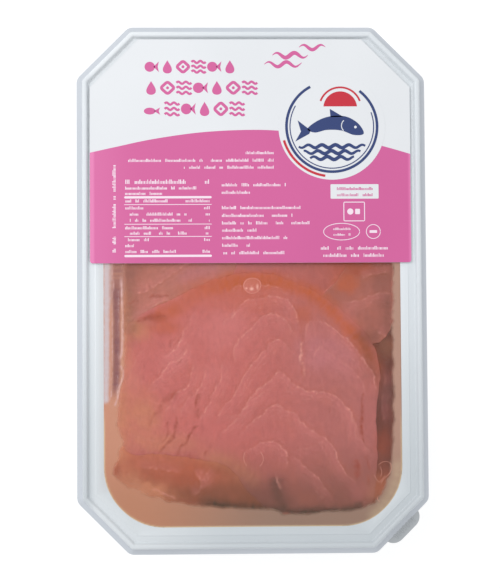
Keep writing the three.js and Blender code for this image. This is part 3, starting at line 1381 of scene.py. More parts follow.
def painted(
    spots: np.ndarray, marks: Iterable[Stroke | Patch], seed: int, warp: float = 0.3
) -> tuple[dict[str, np.ndarray], np.ndarray]:
    """Adds up brush marks over a sheet.

    Args:
        spots: The sheet's points in plan.
        marks: The marks.
        seed: The seed of their unevenness.
        warp: How far, in millimetres, the unevenness shifts them.

    Returns:
        Each mark's cover at each point, and the relief in millimetres.
    """
    shift = np.column_stack([
        layered(spots, (seed + axis, 4.5, 1.0), (seed + axis + 2, 1.6, 0.6)) for axis in (0, 1)
    ])
    moved = spots + warp * shift
    covers: dict[str, np.ndarray] = {}
    relief = np.zeros(len(spots))
    for mark in marks:
        weight = mark.weight(moved)
        key = mark.mark.value
        left = 1 - covers.get(key, np.zeros(len(spots)))
        covers[key] = 1 - left * (1 - mark.strength * weight)
        if isinstance(mark, Stroke):
            relief += mark.relief * weight
    return covers, relief


# ---------------------------------------------------------------- the slices


PAINT_SEED = 31


@dataclass
class Slice:
    """One slice of salmon: its outline, its levels and the marks painted on it."""

    name: str
    knots: Points
    bottom: float
    top: float
    finish: SalmonFlesh
    slot: str
    marks: tuple[Stroke | Patch, ...] = ()
    step: float = 0.4
    edge_drop: float = 0.12
    edge_run: float = 1.6
    swell: float = 0.1
    EDGE_WAVES = ((0.25, 5.0), (0.1, 2.0))
    CLEARANCE = 0.25
    CLIMB_RUN = 3.0
    DIP_START = 0.25
    DIP_RUN = 0.5
    LOWEST_RISE = -0.35
    HIGHEST_RISE = 0.3
    FLUSH_GAP = 0.03
    LEAST_DEPTH = 0.2
    LEAST_EDGE = 0.4
    UNDERCUT = 0.3

    def __post_init__(self) -> None:
        """Works out the outline, a little uneven as cut fish is."""
        line = smooth_path(self.knots, True, 0.5)
        self.outline = line.copy()
        for depth, wavelength in self.EDGE_WAVES:
            for axis in (0, 1):
                self.outline[:, axis] += depth * Waves(PAINT_SEED + 11 + axis, wavelength).at(line)

    def beyond(self, spots: np.ndarray) -> np.ndarray:
        """How far outside the outline each spot lies, below 0 inside it."""
        return nearest(self.outline, spots)[1] * np.where(is_inside(self.outline, spots), -1, 1)

    def fall(self, depth: np.ndarray) -> np.ndarray:
        """How far the soft edge drops at a distance in from the outline."""
        return self.edge_drop * (1 - np.clip(depth / self.edge_run, 0, 1)) ** 2

    def build(self, above: Sequence["Slice"]) -> None:
        """Makes the slice's mesh and dresses it.

        Args:
            above: The slices that lie on it. It climbs up to their edges and dips under them.
        """
        spots, squares, loop = patchwork(self.outline, self.step)
        covers, relief = painted(spots, SHARED_MARKS + self.marks, PAINT_SEED)
        depth = nearest(self.outline, spots)[1]
        swell = self.swell * Waves(PAINT_SEED + 7, 17.0).at(spots)
        ripple = 0.25 * self.swell * Waves(PAINT_SEED + 9, 5.0).at(spots)
        rise = np.clip(relief + swell + ripple, self.LOWEST_RISE, self.HIGHEST_RISE) * ease(depth / 2)
        heights = self.top - self.fall(depth) + rise
        for other in above:
            beyond = other.beyond(spots)
            climb = np.maximum(other.top - other.edge_drop - self.FLUSH_GAP - heights, 0)
            heights = heights + climb * np.exp(-np.maximum(beyond, 0) / self.CLIMB_RUN)
            free = ease(1 + (beyond + self.DIP_START) / self.DIP_RUN)
            ceiling = other.bottom - self.CLEARANCE
            heights = np.where(heights > ceiling, ceiling + (heights - ceiling) * free, heights)
        heights = np.maximum(heights, self.bottom + self.LEAST_DEPTH)
        heights[loop] = np.maximum(heights[loop], self.bottom + self.LEAST_EDGE)
        skirt = ((0.0, self.bottom + self.UNDERCUT), (self.UNDERCUT, self.bottom))
        solid = thick_sheet(spots, squares, loop, heights, skirt)
        for mark in FLESH_MARKS:
            values = covers.get(mark.value, np.zeros(len(spots)))
            solid.marks[mark.value] = with_skirt(values, loop, len(skirt))
        declare(solid.piece(self.name), material_of(self.finish), [self.name])


FLESH_MARKS = (
    Mark.SEAM, Mark.GLOW, Mark.FAT, Mark.MAUVE, Mark.RUST_AND_SHADE, Mark.GREY, Mark.DULL, Mark.GAPE,
)
SHARED_MARKS = (
    Stroke(Mark.FAT, ((-30, -7), (-24, -3), (-17, 0), (-8, 1.5), (3, 2), (12, 1.5), (19, -0.5),
                      (25, -4), (31, -10), (36, -15.5), (41, -21.5), (45, -29), (46.5, -37),
                      (46.5, -44)), 3.2, 0.9, ends=0.25, ragged=0.2),
    Stroke(Mark.FAT, ((-15, 2), (-6, 4), (6, 4.2), (17, 3.2)), 2.4, 0.7, ends=0.3, ragged=0.2),
    Stroke(Mark.FAT, ((-37, -9.5), (-31, -9), (-26, -6)), 3.0, 0.6, ragged=0.2),
    *patches(Mark.FAT, (35, 2, 5, 4, 0.7), (19, -9.5, 4, 3.5, 0.5), (-33, -14.5, 7, 2.5, 0.5),
             (-3, -5, 14, 4.5, 0.35), (-16, 1.5, 11, 4, 0.45, 14), (-26, -6, 7, 3.5, 0.4, 20)),
    # The first of these is a painted shadow under the edge of the upper left slice.
    *patches(Mark.RUST_AND_SHADE, (-36, -10.8, 4, 1.6, 0.8), (40, 8, 9, 3.5, 0.7), (-24, -68, 16, 5, 0.35),
             (48, -57, 3, 5, 0.3)),
    Stroke(Mark.DULL, ((-48.5, 4), (-48.5, -20), (-49, -45), (-49.5, -68)), 3.4, 0.8,
           ends=0.1, ragged=0.2),
    Stroke(Mark.DULL, ((-24, -61), (-9, -64.5), (-2, -69.5), (4, -76)), 3.2, 0.45,
           ends=0.3, ragged=0.2),
    *patches(Mark.DULL, (-42.5, -15, 4.5, 4, 0.7), (-41, -47, 7, 9, 0.65), (-33, -57, 12, 3.5, 0.5),
             (50, -22, 3, 4, 0.3), (-45, -33, 3.5, 6, 0.3), (-39, -74.5, 10, 3.6, 0.8, -12),
             (-46, -70, 4, 4, 0.5), (46.5, -75, 5, 6, 0.3)),
    *patches(Mark.GLOW, (-11, -15, 11, 8, 0.6, 20), (-29, -26, 6, 4.5, 0.55, 30),
             (-15, -31, 7, 4, 0.35), (39, -75, 4, 4, 0.2), (36, -9, 4, 4, 0.2),
             (-45, -33, 3.5, 6, 0.3)),
    *patches(Mark.MAUVE, (25, -24, 8, 7, 0.85), (34, -26, 5, 8, 0.5), (33, -12, 4, 4, 0.4)),
    # Dark skin along the bottom edge, and painted shade along the right edges where the slices drop.
    Stroke(Mark.GREY, ((-22, -79.2), (-13, -80), (-5, -81), (4, -81.2), (9, -80.5)), 2.3, 0.85,
           ragged=0.3),
    Stroke(Mark.GREY, ((7.9, -68), (8.6, -74), (9.6, -78), (12, -84)), 2.8, 0.55, ragged=0.35),
    Stroke(Mark.GREY, ((4, -81.5), (12, -83), (24, -82.6), (34, -82.4), (42, -80)), 1.7, 0.85,
           ends=0.1, ragged=0.2),
    Stroke(Mark.GREY, ((50.5, -1), (50.2, -10), (50, -19)), 2.0, 0.35),
    Stroke(Mark.GREY, ((-46, 8), (-45.5, -4), (-45, -18)), 3.0, 0.32, ends=0.15, ragged=0.2),
    Stroke(Mark.GREY, ((38, -14), (42, -22), (44, -29), (45, -37)), 3.0, 0.4, ragged=0.2),
    Stroke(Mark.GREY, ((-20, -64), (-6, -68), (2, -74), (6, -79)), 3.6, 0.2, ends=0.3, ragged=0.2),
    *patches(Mark.GREY, (48.5, 0, 3.5, 7, 0.2), (46, 5.5, 8, 4, 0.15), (-39, -12, 4, 3, 0.1),
             (50, -39, 4, 6, 0.38), (-45, 7, 4, 3, 0.25), (-45, -18, 3, 4, 0.15),
             (46, -80, 4, 3, 0.2), (-18, -75, 12, 4, 0.15), (45, -18, 4, 3, 0.25),
             (0, -48, 11, 7, 0.08), (-3, -75.5, 17, 3.5, 0.2)),
    Patch(Mark.GAPE, 12, -83.3, 1.4, 0.9, 0.6),
    Stroke(Mark.SEAM, ((8.6, -68.5), (9.2, -72), (10, -75)), 0.5, 0.35),
)
# Painted reflections: faint pale lines on the flesh where the lid film is wrinkled.
FILM_WRINKLE_SHEEN = tuple(
    Stroke(Mark.SEAM, points, 0.22, 0.16, ends=0.3, ragged=0.7)
    for points in (
        ((-48, -38.5), (-38, -41.5), (-24, -45.5), (-8, -48)),
        ((-49, -46.5), (-38, -49.5), (-26, -53.5), (-12, -56.5)),
        ((-48.5, -53), (-40, -55.5), (-31, -57.5)),
        ((-46, -33), (-36, -36), (-25, -39.5)),
    )
)

TOP_ARCHES = (
    *seam(((-9.4, -2.6), (-6.5, 0.2), (-3.5, 1.4), (4, 1.2), (8.8, 0.4), (14, -3)), 0.3),
    *seam(((-12, -15.5), (-10, -12), (-7, -10), (-5, -7), (-2, -4.5), (2, -4), (8, -3), (12.5, -4),
          (14, -5.5), (16, -9), (17.2, -13), (18, -18.5)), 0.5),
    *seam(((-6.5, -28.5), (-6.5, -23.5), (-5.5, -20), (-4, -17.5), (-2, -16.6), (0.5, -13.5),
          (4, -10.5), (7.5, -9.5), (10.5, -10.5), (12.5, -12.5), (14.5, -15.5), (17, -19)), 0.5),
    *seam(((-15.5, -51), (-13, -48.5), (-12, -45.5), (-10, -43), (-7.5, -40.5), (-5.5, -37.5),
          (-3.5, -33), (-1.5, -30), (0.5, -27.5), (4.5, -23), (8.5, -19), (11.5, -20.5),
          (14.5, -23.5), (17, -26)), 0.55),
    *seam(((-12.5, -49), (-7, -47), (-4.5, -46), (-2, -42.5), (1, -38.5), (6, -34.5), (10, -31),
          (14, -34.5), (19.5, -38), (23, -38.5), (28, -39), (31, -40.5), (34, -43.5),
          (36.5, -47), (38.5, -53), (40.5, -58)), 0.6),
    *seam(((-13, -55.5), (-10, -52), (-7, -49.5), (-4, -46), (-1.5, -42.5), (3, -39.5), (8, -37)), 0.4),
    *seam(((-7, -57.5), (-2, -51), (2.5, -47.5), (8.5, -43), (11.5, -45), (15.5, -46.5), (17.5, -49.5),
          (20.5, -52), (24, -54), (27, -56), (29.5, -59), (31, -63), (32.5, -66.5), (35, -69.5),
          (38, -73), (39, -77)), 0.55),
    *seam(((-3.5, -61.5), (0.5, -58.5), (6, -56.5), (9, -57.5), (12, -60.5), (12.6, -64),
          (12.4, -68)), 0.5),
    *seam(((12.5, -62), (15.5, -63), (19.5, -66.5), (23, -69.5), (25.5, -73), (28, -76),
          (30.5, -79)), 0.4),
    *seam(((33, -43), (36, -46.5), (37, -49.5), (38, -54), (40, -57), (42.5, -60), (44, -63)), 0.35),
    *seam(((14, -60), (19.5, -59.5), (23, -58.5), (27, -56)), 0.2),
    *seam(((20, -28.5), (23, -25), (25, -21.5), (27.5, -23.5), (32.5, -27), (36, -29.5), (39, -33),
          (41.5, -38), (42, -42)), 0.35),
)
TOP_LEFT_SEAMS = (
    *seam(((-25.5, -15), (-26.5, -19), (-28.5, -22), (-31.5, -24.5), (-33.5, -25.5)), 0.6, 1),
    *seam(((-22.5, -19.5), (-24, -22), (-25, -24), (-27.5, -26.5), (-31, -28), (-33, -31),
          (-36.5, -34.5), (-39.5, -39)), 0.6, 1),
    *seam(((-20.8, -25), (-22, -28), (-22.5, -31), (-23.5, -35.5), (-26, -37.5), (-28.5, -39),
          (-31, -43), (-33.5, -47)), 0.5, 1),
    *seam(((-17.5, -29), (-18, -32.5), (-19, -35.5), (-20.5, -38), (-22, -39.5), (-24.5, -41.5),
          (-26, -44), (-27, -48)), 0.5, 1),
    *seam(((-9.5, -24), (-11.5, -30.5), (-11.5, -33), (-13, -35.5), (-15, -39.5), (-16, -42.5),
          (-17.5, -45), (-19, -47.5), (-21, -51)), 0.5, 1),
    *seam(((-6, -20), (-7, -23.5), (-6.5, -27.5)), 0.25, 1),
    *seam(((-20.5, -8), (-22.5, -11), (-24, -14), (-27, -16.5)), 0.3, 1),
    *seam(((-39, -21), (-43, -26), (-45.5, -33)), 0.2, 1),
)
TOP_GAPES = (
    gape(((-42.5, -12.1), (-38, -10.8), (-32, -9.9)), 0.8, 0.75),
    gape(((-27.8, -38.2), (-30, -40), (-32.6, -41.4), (-34, -41.8)), 1.0, 0.55),
    Patch(Mark.GAPE, -29.6, -39.2, 2.4, 1.6, 0.35, 25),
    gape(((-33.4, -42.5), (-34.5, -45), (-37, -47.5), (-38.3, -51)), 0.8, 0.45),
    gape(((-20.3, -38.6), (-20.6, -42), (-21, -44)), 0.8, 0.8),
    gape(((-20.4, -44.6), (-20.8, -48.6)), 0.7, 0.6),
    gape(((-28.4, -47), (-28.5, -52), (-30.5, -56.5), (-33, -58.5), (-34.8, -61.4)), 0.55, 0.75),
    gape(((-31.6, -49), (-31.5, -53.5), (-33.6, -57)), 0.5, 0.5),
    gape(((-20.4, -50.3), (-23, -53.6), (-24.6, -56.4), (-26.5, -58.6), (-28.6, -62)), 0.55, 0.85),
    gape(((-17.2, -59.4), (-18, -62)), 0.4, 0.7),
    gape(((-24.2, -61.2), (-22.6, -62.6), (-21, -61.6)), 0.6, 0.5),
    gape(((-30, -18.5), (-30.5, -22.5)), 0.3, 0.35),
    gape(((-26.3, -26.3), (-28.2, -28.2)), 0.35, 0.5),
    gape(((40.8, -39), (40.4, -47), (40.1, -52), (40.8, -57.5)), 0.5, 0.9),
    gape(((37.4, -63.4), (38.6, -66.8), (37.7, -70.4)), 0.9, 0.9),
    gape(((41.4, -62), (43.2, -67.5)), 0.45, 0.7),
    gape(((42.4, -68.6), (42.7, -72.6)), 0.35, 0.6),
    gape(((27.8, -44.5), (28.6, -46.5)), 0.3, 0.35),
)
TOP_FOLD = (
    Stroke(Mark.RUST_AND_SHADE, ((16.5, -9.5), (17, -13), (18, -21.5), (18, -28), (18.5, -36)), 1.3, 0.3, -0.06, 1),
    # Painted highlight: pale strokes along the crest of the fold.
    Stroke(Mark.SEAM, ((18.2, -19), (18, -23), (17.6, -28.5)), 0.5, 0.8, 0.06, ragged=0.6),
    Stroke(Mark.SEAM, ((18.2, -27), (19.1, -31), (18.6, -34)), 0.35, 0.5, 0.05, ragged=0.7),
    *seam(((19.5, -20), (20, -15.5), (21.5, -11.2)), 0.35, -1, 0.3),
    *seam(((21.5, -11.2), (24.5, -12), (28, -13.5), (31.5, -16.5), (35.5, -19.5), (39, -23.5),
          (41.5, -27.5), (44.3, -31.5), (45.2, -34.5), (45.2, -42)), 0.55),
)

LOW_FLESH = Tone(134, 80, 67)
PINK_FLESH = SalmonFlesh("pink_flesh", Tone(198, 105, 99), Tone(181, 104, 98), LOW_FLESH)
BROWN_FLESH = SalmonFlesh("brownish_flesh", Tone(182, 109, 94), Tone(182, 109, 94), LOW_FLESH)
MAUVE_FLESH = SalmonFlesh("mauve_flesh", Tone(186, 102, 102), Tone(180, 95, 84), LOW_FLESH)
RED_FLESH = SalmonFlesh("reddish_flesh", Tone(203, 111, 86), Tone(160, 94, 80), Tone(138, 77, 52))
ROSY_FLESH = SalmonFlesh("rosy_flesh", Tone(169, 98, 85), Tone(169, 98, 85), LOW_FLESH)
# The right slice lies deeper, under the top slice's edge: its dark tone is painted shade as well as the
# deeper oil over it.
DARK_FLESH = SalmonFlesh("dark_flesh", Tone(113, 61, 50), Tone(113, 61, 50), Tone(142, 80, 64))

SLICES = (
    Slice(
        "slice_top",
        ((-46.5, -60), (-50.3, -47), (-48.5, -30), (-46.5, -14), (-29, -3.5), (-10, 4.5), (2, 6),
         (18, 1.5), (33, -8), (42.5, -17.5), (47, -29), (45.7, -45), (45.6, -69), (42.5, -81),
         (28, -83.3), (9, -83.5), (-1, -76), (-9.5, -65.8), (-20, -63.2), (-34, -61)),
        17.6, 19.6, PINK_FLESH, "salmon_pink",
        TOP_ARCHES + TOP_LEFT_SEAMS + TOP_FOLD + TOP_GAPES + FILM_WRINKLE_SHEEN, step=0.3, edge_drop=0.06,
    ),
    Slice(
        "slice_upper_left",
        ((-48.6, 9), (-48.8, -4), (-48.5, -14), (-46.5, -21), (-38, -17), (-20, -6), (-6, 8),
         (-1, 34), (-8, 64), (-24, 80), (-42, 74), (-49.5, 50), (-50, 28)),
        17.0, 19.2, BROWN_FLESH, "salmon_lower",
        (
            *seam(((-46, -2.5), (-40, -1), (-33.5, 3), (-28.5, 6.5), (-24.5, 9), (-19, 14)), 0.5, 1),
            *seam(((-46, -11.8), (-43.5, -11.5), (-39.5, -8.5), (-34.5, -5), (-30, -3.6)), 0.55, 1),
            *seam(((-27.5, 9), (-18, 11), (-12, 16)), 0.2, 1),
            gape(((-38.2, -3.3), (-34.5, -2.6), (-30.8, -2.4)), 0.45, 0.8),
            gape(((-46, -5.6), (-41.8, -4.2)), 0.35, 0.5),
            gape(((-42.6, -12.2), (-37.5, -10.2), (-31, -9.4)), 0.9, 0.65),
            Patch(Mark.MAUVE, -18, 6, 10, 5, 0.7, 12),
        ),
    ),
    Slice(
        "slice_upper_middle",
        ((35.5, 10), (31, 2), (24.5, -3.5), (12, -8), (-6, -7), (-18, 2), (-17, 28), (-8, 56), (6, 74),
         (24, 78), (38, 66), (41, 44), (39, 24)),
        15.5, 19.1, MAUVE_FLESH, "salmon_pink",
        (
            *seam(((35.5, 9), (33.5, 4.5), (30.5, 1.5), (27.5, -1), (24.5, -3.5)), 0.5, 1),
            *seam(((11.5, -1), (14.5, 1.6), (17.5, 3.5)), 0.45, 1, 0.3),
        ),
    ),
    Slice(
        "slice_lower_left",
        ((-49, -44), (-50.2, -52), (-48.6, -56), (-52.2, -68), (-49, -72), (-40.5, -76),
         (-28.5, -79.4), (-15, -81), (-3, -81.8), (7, -81.5), (10, -74), (8, -64), (0, -50), (-20, -42),
         (-38, -40)),
        15.2, 19.1, RED_FLESH, "salmon_lower",
        (
            *seam(((-21.5, -66.5), (-19.5, -71.5), (-19, -74.5)), 0.45, 1),
            *seam(((-15.5, -66), (-19.5, -71.5)), 0.4, 1),
            *seam(((-22.5, -76.5), (-19, -74.5)), 0.3, 1),
            *seam(((-44, -64.5), (-39.5, -66), (-34, -66.5), (-26, -68)), 0.3, 1),
            Stroke(Mark.SEAM, ((-38, -73.5), (-33, -75.5), (-28, -78)), 0.4, 0.35),
            gape(((-50.4, -68.2), (-49, -65.4)), 0.7, 0.35),
            gape(((-47.2, -69), (-46, -67)), 0.5, 0.35),
        ),
    ),
    Slice(
        "slice_upper_right",
        ((52.6, -13), (49, -18.5), (44, -21), (36, -19), (24, -10), (18, 4), (16, 30), (20, 56),
         (30, 76), (42, 78), (49.5, 64), (51.8, 40), (52.7, 12), (53, -4)),
        13.4, 19.0, ROSY_FLESH, "salmon_lower",
        (
            *seam(((40.5, 3.5), (44, 5), (50, 6), (52, 6)), 0.45, 1),
            *seam(((33, -5.5), (37, -5), (40, -4.6), (42, -4), (45, -2.5), (49.5, -2),
                   (52.5, -3)), 0.45),
            *seam(((46.5, -16.5), (50, -18)), 0.4, 1, 0.3),
            *seam(((39, -16), (40.5, -17.5)), 0.4, 1, 0.3),
        ),
    ),
    Slice(
        "slice_right",
        ((50.9, -4), (52.5, -18), (52.8, -34), (52.6, -49), (52, -60), (51.2, -68), (49.3, -74),
         (46.3, -78.5), (42.5, -80.8), (37, -79), (33, -70), (32, -46), (34, -20), (41, -3)),
        11.3, 18.2, DARK_FLESH, "salmon_dark",
        (
            Patch(Mark.GREY, 49.5, -23, 3, 5, 0.25),
            Patch(Mark.MAUVE, 49, -38, 3, 8, 0.2),
            Patch(Mark.FAT, 48, -73, 4, 5, 0.3),
            *seam(((49.5, -30), (48, -44), (49.5, -52)), 0.2, 1),
        ),
    ),
)


@dataclass
class SliceStack:
    """The visible slices and the stack under them."""

    name: str = "slices_below"
    knots: Points = (
        (-45, -58), (-46.5, -36), (-45.5, -12), (-46, 30), (-42, 64), (-24, 73), (4, 70), (30, 72),
        (44, 60), (46, 30), (46.5, -30), (45, -62), (36, -75), (10, -76), (-25, -72),
    )
    bottom: float = 2.4
    top: float = 17.2
    step: float = 1.1
    finish: SalmonFlesh = RED_FLESH

    def build(self) -> None:
        """Makes every slice, then the stack, which stays below the lowest slice over it."""
        for index, one in enumerate(SLICES):
            one.build(SLICES[:index])
        outline = smooth_path(self.knots, True, 1.0)
        spots, squares, loop = patchwork(outline, self.step)
        heights = self.top + 0.1 * Waves(PAINT_SEED, 14.0).at(spots)
        for one in SLICES:
            over = is_inside(one.outline, spots)
            heights[over] = np.minimum(heights[over], one.bottom - 0.2)
        solid = thick_sheet(spots, squares, loop, heights, ((0.5, self.bottom),))
        blank = np.zeros(len(solid.points))
        solid.marks = {mark.value: blank for mark in FLESH_MARKS}
        made = solid.piece(self.name)
        declare(made, material_of(self.finish), [self.name])

    def beyond(self, spots: np.ndarray) -> np.ndarray:
        """How far outside every slice each spot lies, below 0 over fish."""
        return np.min([one.beyond(spots) for one in SLICES], axis=0)


# ---------------------------------------------------------------- the tray


@dataclass
class Tray:
    """The moulded tray: cavity, sealing flange, ridge, sloping lip and grip tab."""

    width: float = 130.0
    length: float = 196.0
    rim_chamfer: float = 19.4
    rim_round: float = 4.0
    cavity_width: float = 110.2
    cavity_length: float = 176.0
    cavity_round: float = 21.6
    cavity_flat: float = 0.5
    flange_height: float = 20.3
    corner_steps: int = 10
    bend: float = 0.55
    inside: Points = (
        (18, 0.9), (16.8, 2.1), (14.2, 2.1), (13, 0.9), (6, 0.9), (4, 1.7), (3, 3.4), (0.5, 19.4),
        (0.2, 20.1), (0, 20.3),
    )
    rim: Points = (
        (7.6, 20.3), (7.2, 20.45), (6.8, 20.3), (4.9, 20.3), (4.5, 20.5), (3.95, 21.7), (3.6, 22),
        (2.7, 22), (2.3, 21.6), (2, 19.9),
        (1.7, 19.6), (0.2, 18.6), (0, 18.3), (0.1, 17.5), (0.9, 17.5), (1.9, 18.6), (5.2, 19.1),
        (5.8, 19.5),
    )
    outside: Points = (
        (-0.9, 19.5), (-0.4, 18.8), (2.2, 3), (3.3, 0.9), (4.6, 0.2), (5.6, 0), (13.2, 0),
        (14.4, 1.2), (16.6, 1.2), (17.8, 0),
    )
    tab_width: float = 16.4
    tab_reach: float = 3.3
    tab_round: float = 4.5
    tab_root: float = 1.5
    tab_thickness: float = 0.8
    tab_droop: float = 0.22
    tab_height: float = 18.45
    tab_soft: float = 0.18
    tab_steps: int = 12
    rib_count: int = 7
    lip_inset: float = 2.2
    rib_length: float = 3.4
    rib_width: float = 0.5
    rib_fan: float = 0.05
    rib_line: tuple[tuple[float, float, float], ...] = ((-4.6, -0.2, 0.02), (4.6, -0.2, 0.02))
    finish: MouldedPlastic = MouldedPlastic()
    # Painted shade: the tab gets a grey tone for the shadow that shows through it and under it.
    tab_finish: MouldedPlastic = MouldedPlastic(
        "grip_tab_plastic", Tone(184, 188, 191), low=Tone(184, 188, 191)
    )
    TAB_TURN = -3 * math.pi / 4
    LEAST_ROUND = 0.6
    LEAST_CAVITY_ROUND = 2
    STAIN_INSET = (0.4, 0.7)
    STAIN_SIDE = (52.5, 1.5)
    STAIN_TOP = (20, 6)
    STAIN_DEPTH = 0.3

    def rim_outline(self, inset: float) -> np.ndarray:
        """The rim's outline.

        Args:
            inset: How far it is moved in.

        Returns:
            The outline's points.
        """
        half = (self.width / 2 - inset, self.length / 2 - inset)
        chamfer = self.rim_chamfer - (2 - math.sqrt(2)) * inset
        return chamfered(half, chamfer, max(self.rim_round - inset, self.LEAST_ROUND), self.corner_steps)

    def cavity_outline(self, inset: float) -> np.ndarray:
        """The cavity's outline, whose corners are nearly quarter circles.

        Args:
            inset: How far it is moved in.

        Returns:
            The outline's points.
        """
        half = (self.cavity_width / 2 - inset, self.cavity_length / 2 - inset)
        radius = max(self.cavity_round - inset, self.LEAST_CAVITY_ROUND)
        chamfer = radius * math.sqrt(2) * math.tan(math.pi / 8) + self.cavity_flat
        return chamfered(half, chamfer, radius, self.corner_steps)

    def stain(self, ring: np.ndarray, inset: float) -> np.ndarray:
        """How far the air strip beside it stains the top of the cavity's wall.

        Args:
            ring: The points of a ring of the wall.
            inset: How far in the ring lies.

        Returns:
            Numbers from 0 to 1.
        """
        middle, run = self.STAIN_INSET
        side, side_run = self.STAIN_SIDE
        top, top_run = self.STAIN_TOP
        near_edge = math.exp(-((inset - middle) / run) ** 2)
        left = ease((-ring[:, 0] - side) / side_run) * ease((top - ring[:, 1]) / top_run)
        return self.STAIN_DEPTH * near_edge * left

    def skin(self) -> Shape:
        """The tray's skin, its bends rounded: with painted shade on the sloping lip and stained beside the
        air.

        Returns:
            The closed solid.
        """
        rings = []
        stain = []
        lip_shade = []
        for profile, outline in (
            (self.outside, self.cavity_outline),
            (self.rim, self.rim_outline),
            (self.inside, self.cavity_outline),
        ):
            for inset, height in softened(profile[::-1], self.bend):
                ring = level_ring(outline(inset), height)
                blank = np.zeros(len(ring))
                rings.append(ring)
                stain.append(self.stain(ring, inset) if profile is self.inside else blank)
                # Marks the sloping lip, which gets painted shade.
                lip_shade.append(blank + (profile is self.rim and inset < self.lip_inset))
        shape = stacked(rings)
        shape.marks[Mark.STAIN.value] = np.concatenate(stain)
        shape.marks[Mark.THIN.value] = np.concatenate(lip_shade)
        return shape

    def at_tab(self, points: np.ndarray) -> np.ndarray:
        """Moves points to where the tab leaves the lip.

        Args:
            points: Points given across the tab, outwards and up.

        Returns:
            The points in place.
        """
        out, up = turned(points[:, 1], points[:, 2], -self.tab_droop)
        x, y = turned(points[:, 0], out, self.TAB_TURN)
        root_x = (self.width - self.rim_chamfer) / 2
        root_y = (self.rim_chamfer - self.length) / 2
        return np.column_stack([x + root_x, y + root_y, up + self.tab_height])

    def tab(self) -> Shape:
        """The grip tab: a rounded flap that carries the lip on at one chamfer.

        Returns:
            The closed solid.
        """
        half = self.tab_width / 2
        centre = half - self.tab_round
        reach = self.tab_reach - self.tab_round
        outline = [(-half, -self.tab_root), (half, -self.tab_root)]
        for side, first in ((1, 0.0), (-1, math.pi / 2)):
            for step in range(self.tab_steps + 1):
                angle = first + step / self.tab_steps * math.pi / 2
                outline.append((side * centre + self.tab_round * math.cos(angle),
                                reach + self.tab_round * math.sin(angle)))
        flat = np.array(outline)
        middle = flat.mean(0)
        soft = self.tab_soft
        rings = []
        for inset, height in (
            (soft, -self.tab_thickness), (0, soft - self.tab_thickness), (0, -soft), (soft, 0),
        ):
            shrunk = middle + (flat - middle) * (1 - inset / half)
            rings.append(self.at_tab(level_ring(shrunk, height)))
        return stacked(rings)

    def build(self) -> None:
        """Makes the tray, its tab and the ribs on the tab."""
        declare(self.skin().piece("tray"), material_of(self.finish), ["tray"])
        material = material_of(self.tab_finish)
        declare(self.tab().piece("grip_tab"), material)
        ribs = RibRule().made(
            "grip_tab_ribs", [self.at_tab(np.array(self.rib_line))], material, Count=self.rib_count,
            Length=self.rib_length * MM, Width=self.rib_width * MM, Height=self.rib_width * MM,
            Fan=self.rib_fan, Turn=self.TAB_TURN,
        )
        declare(ribs, material)


# ---------------------------------------------------------------- oil, film, bubbles and threads


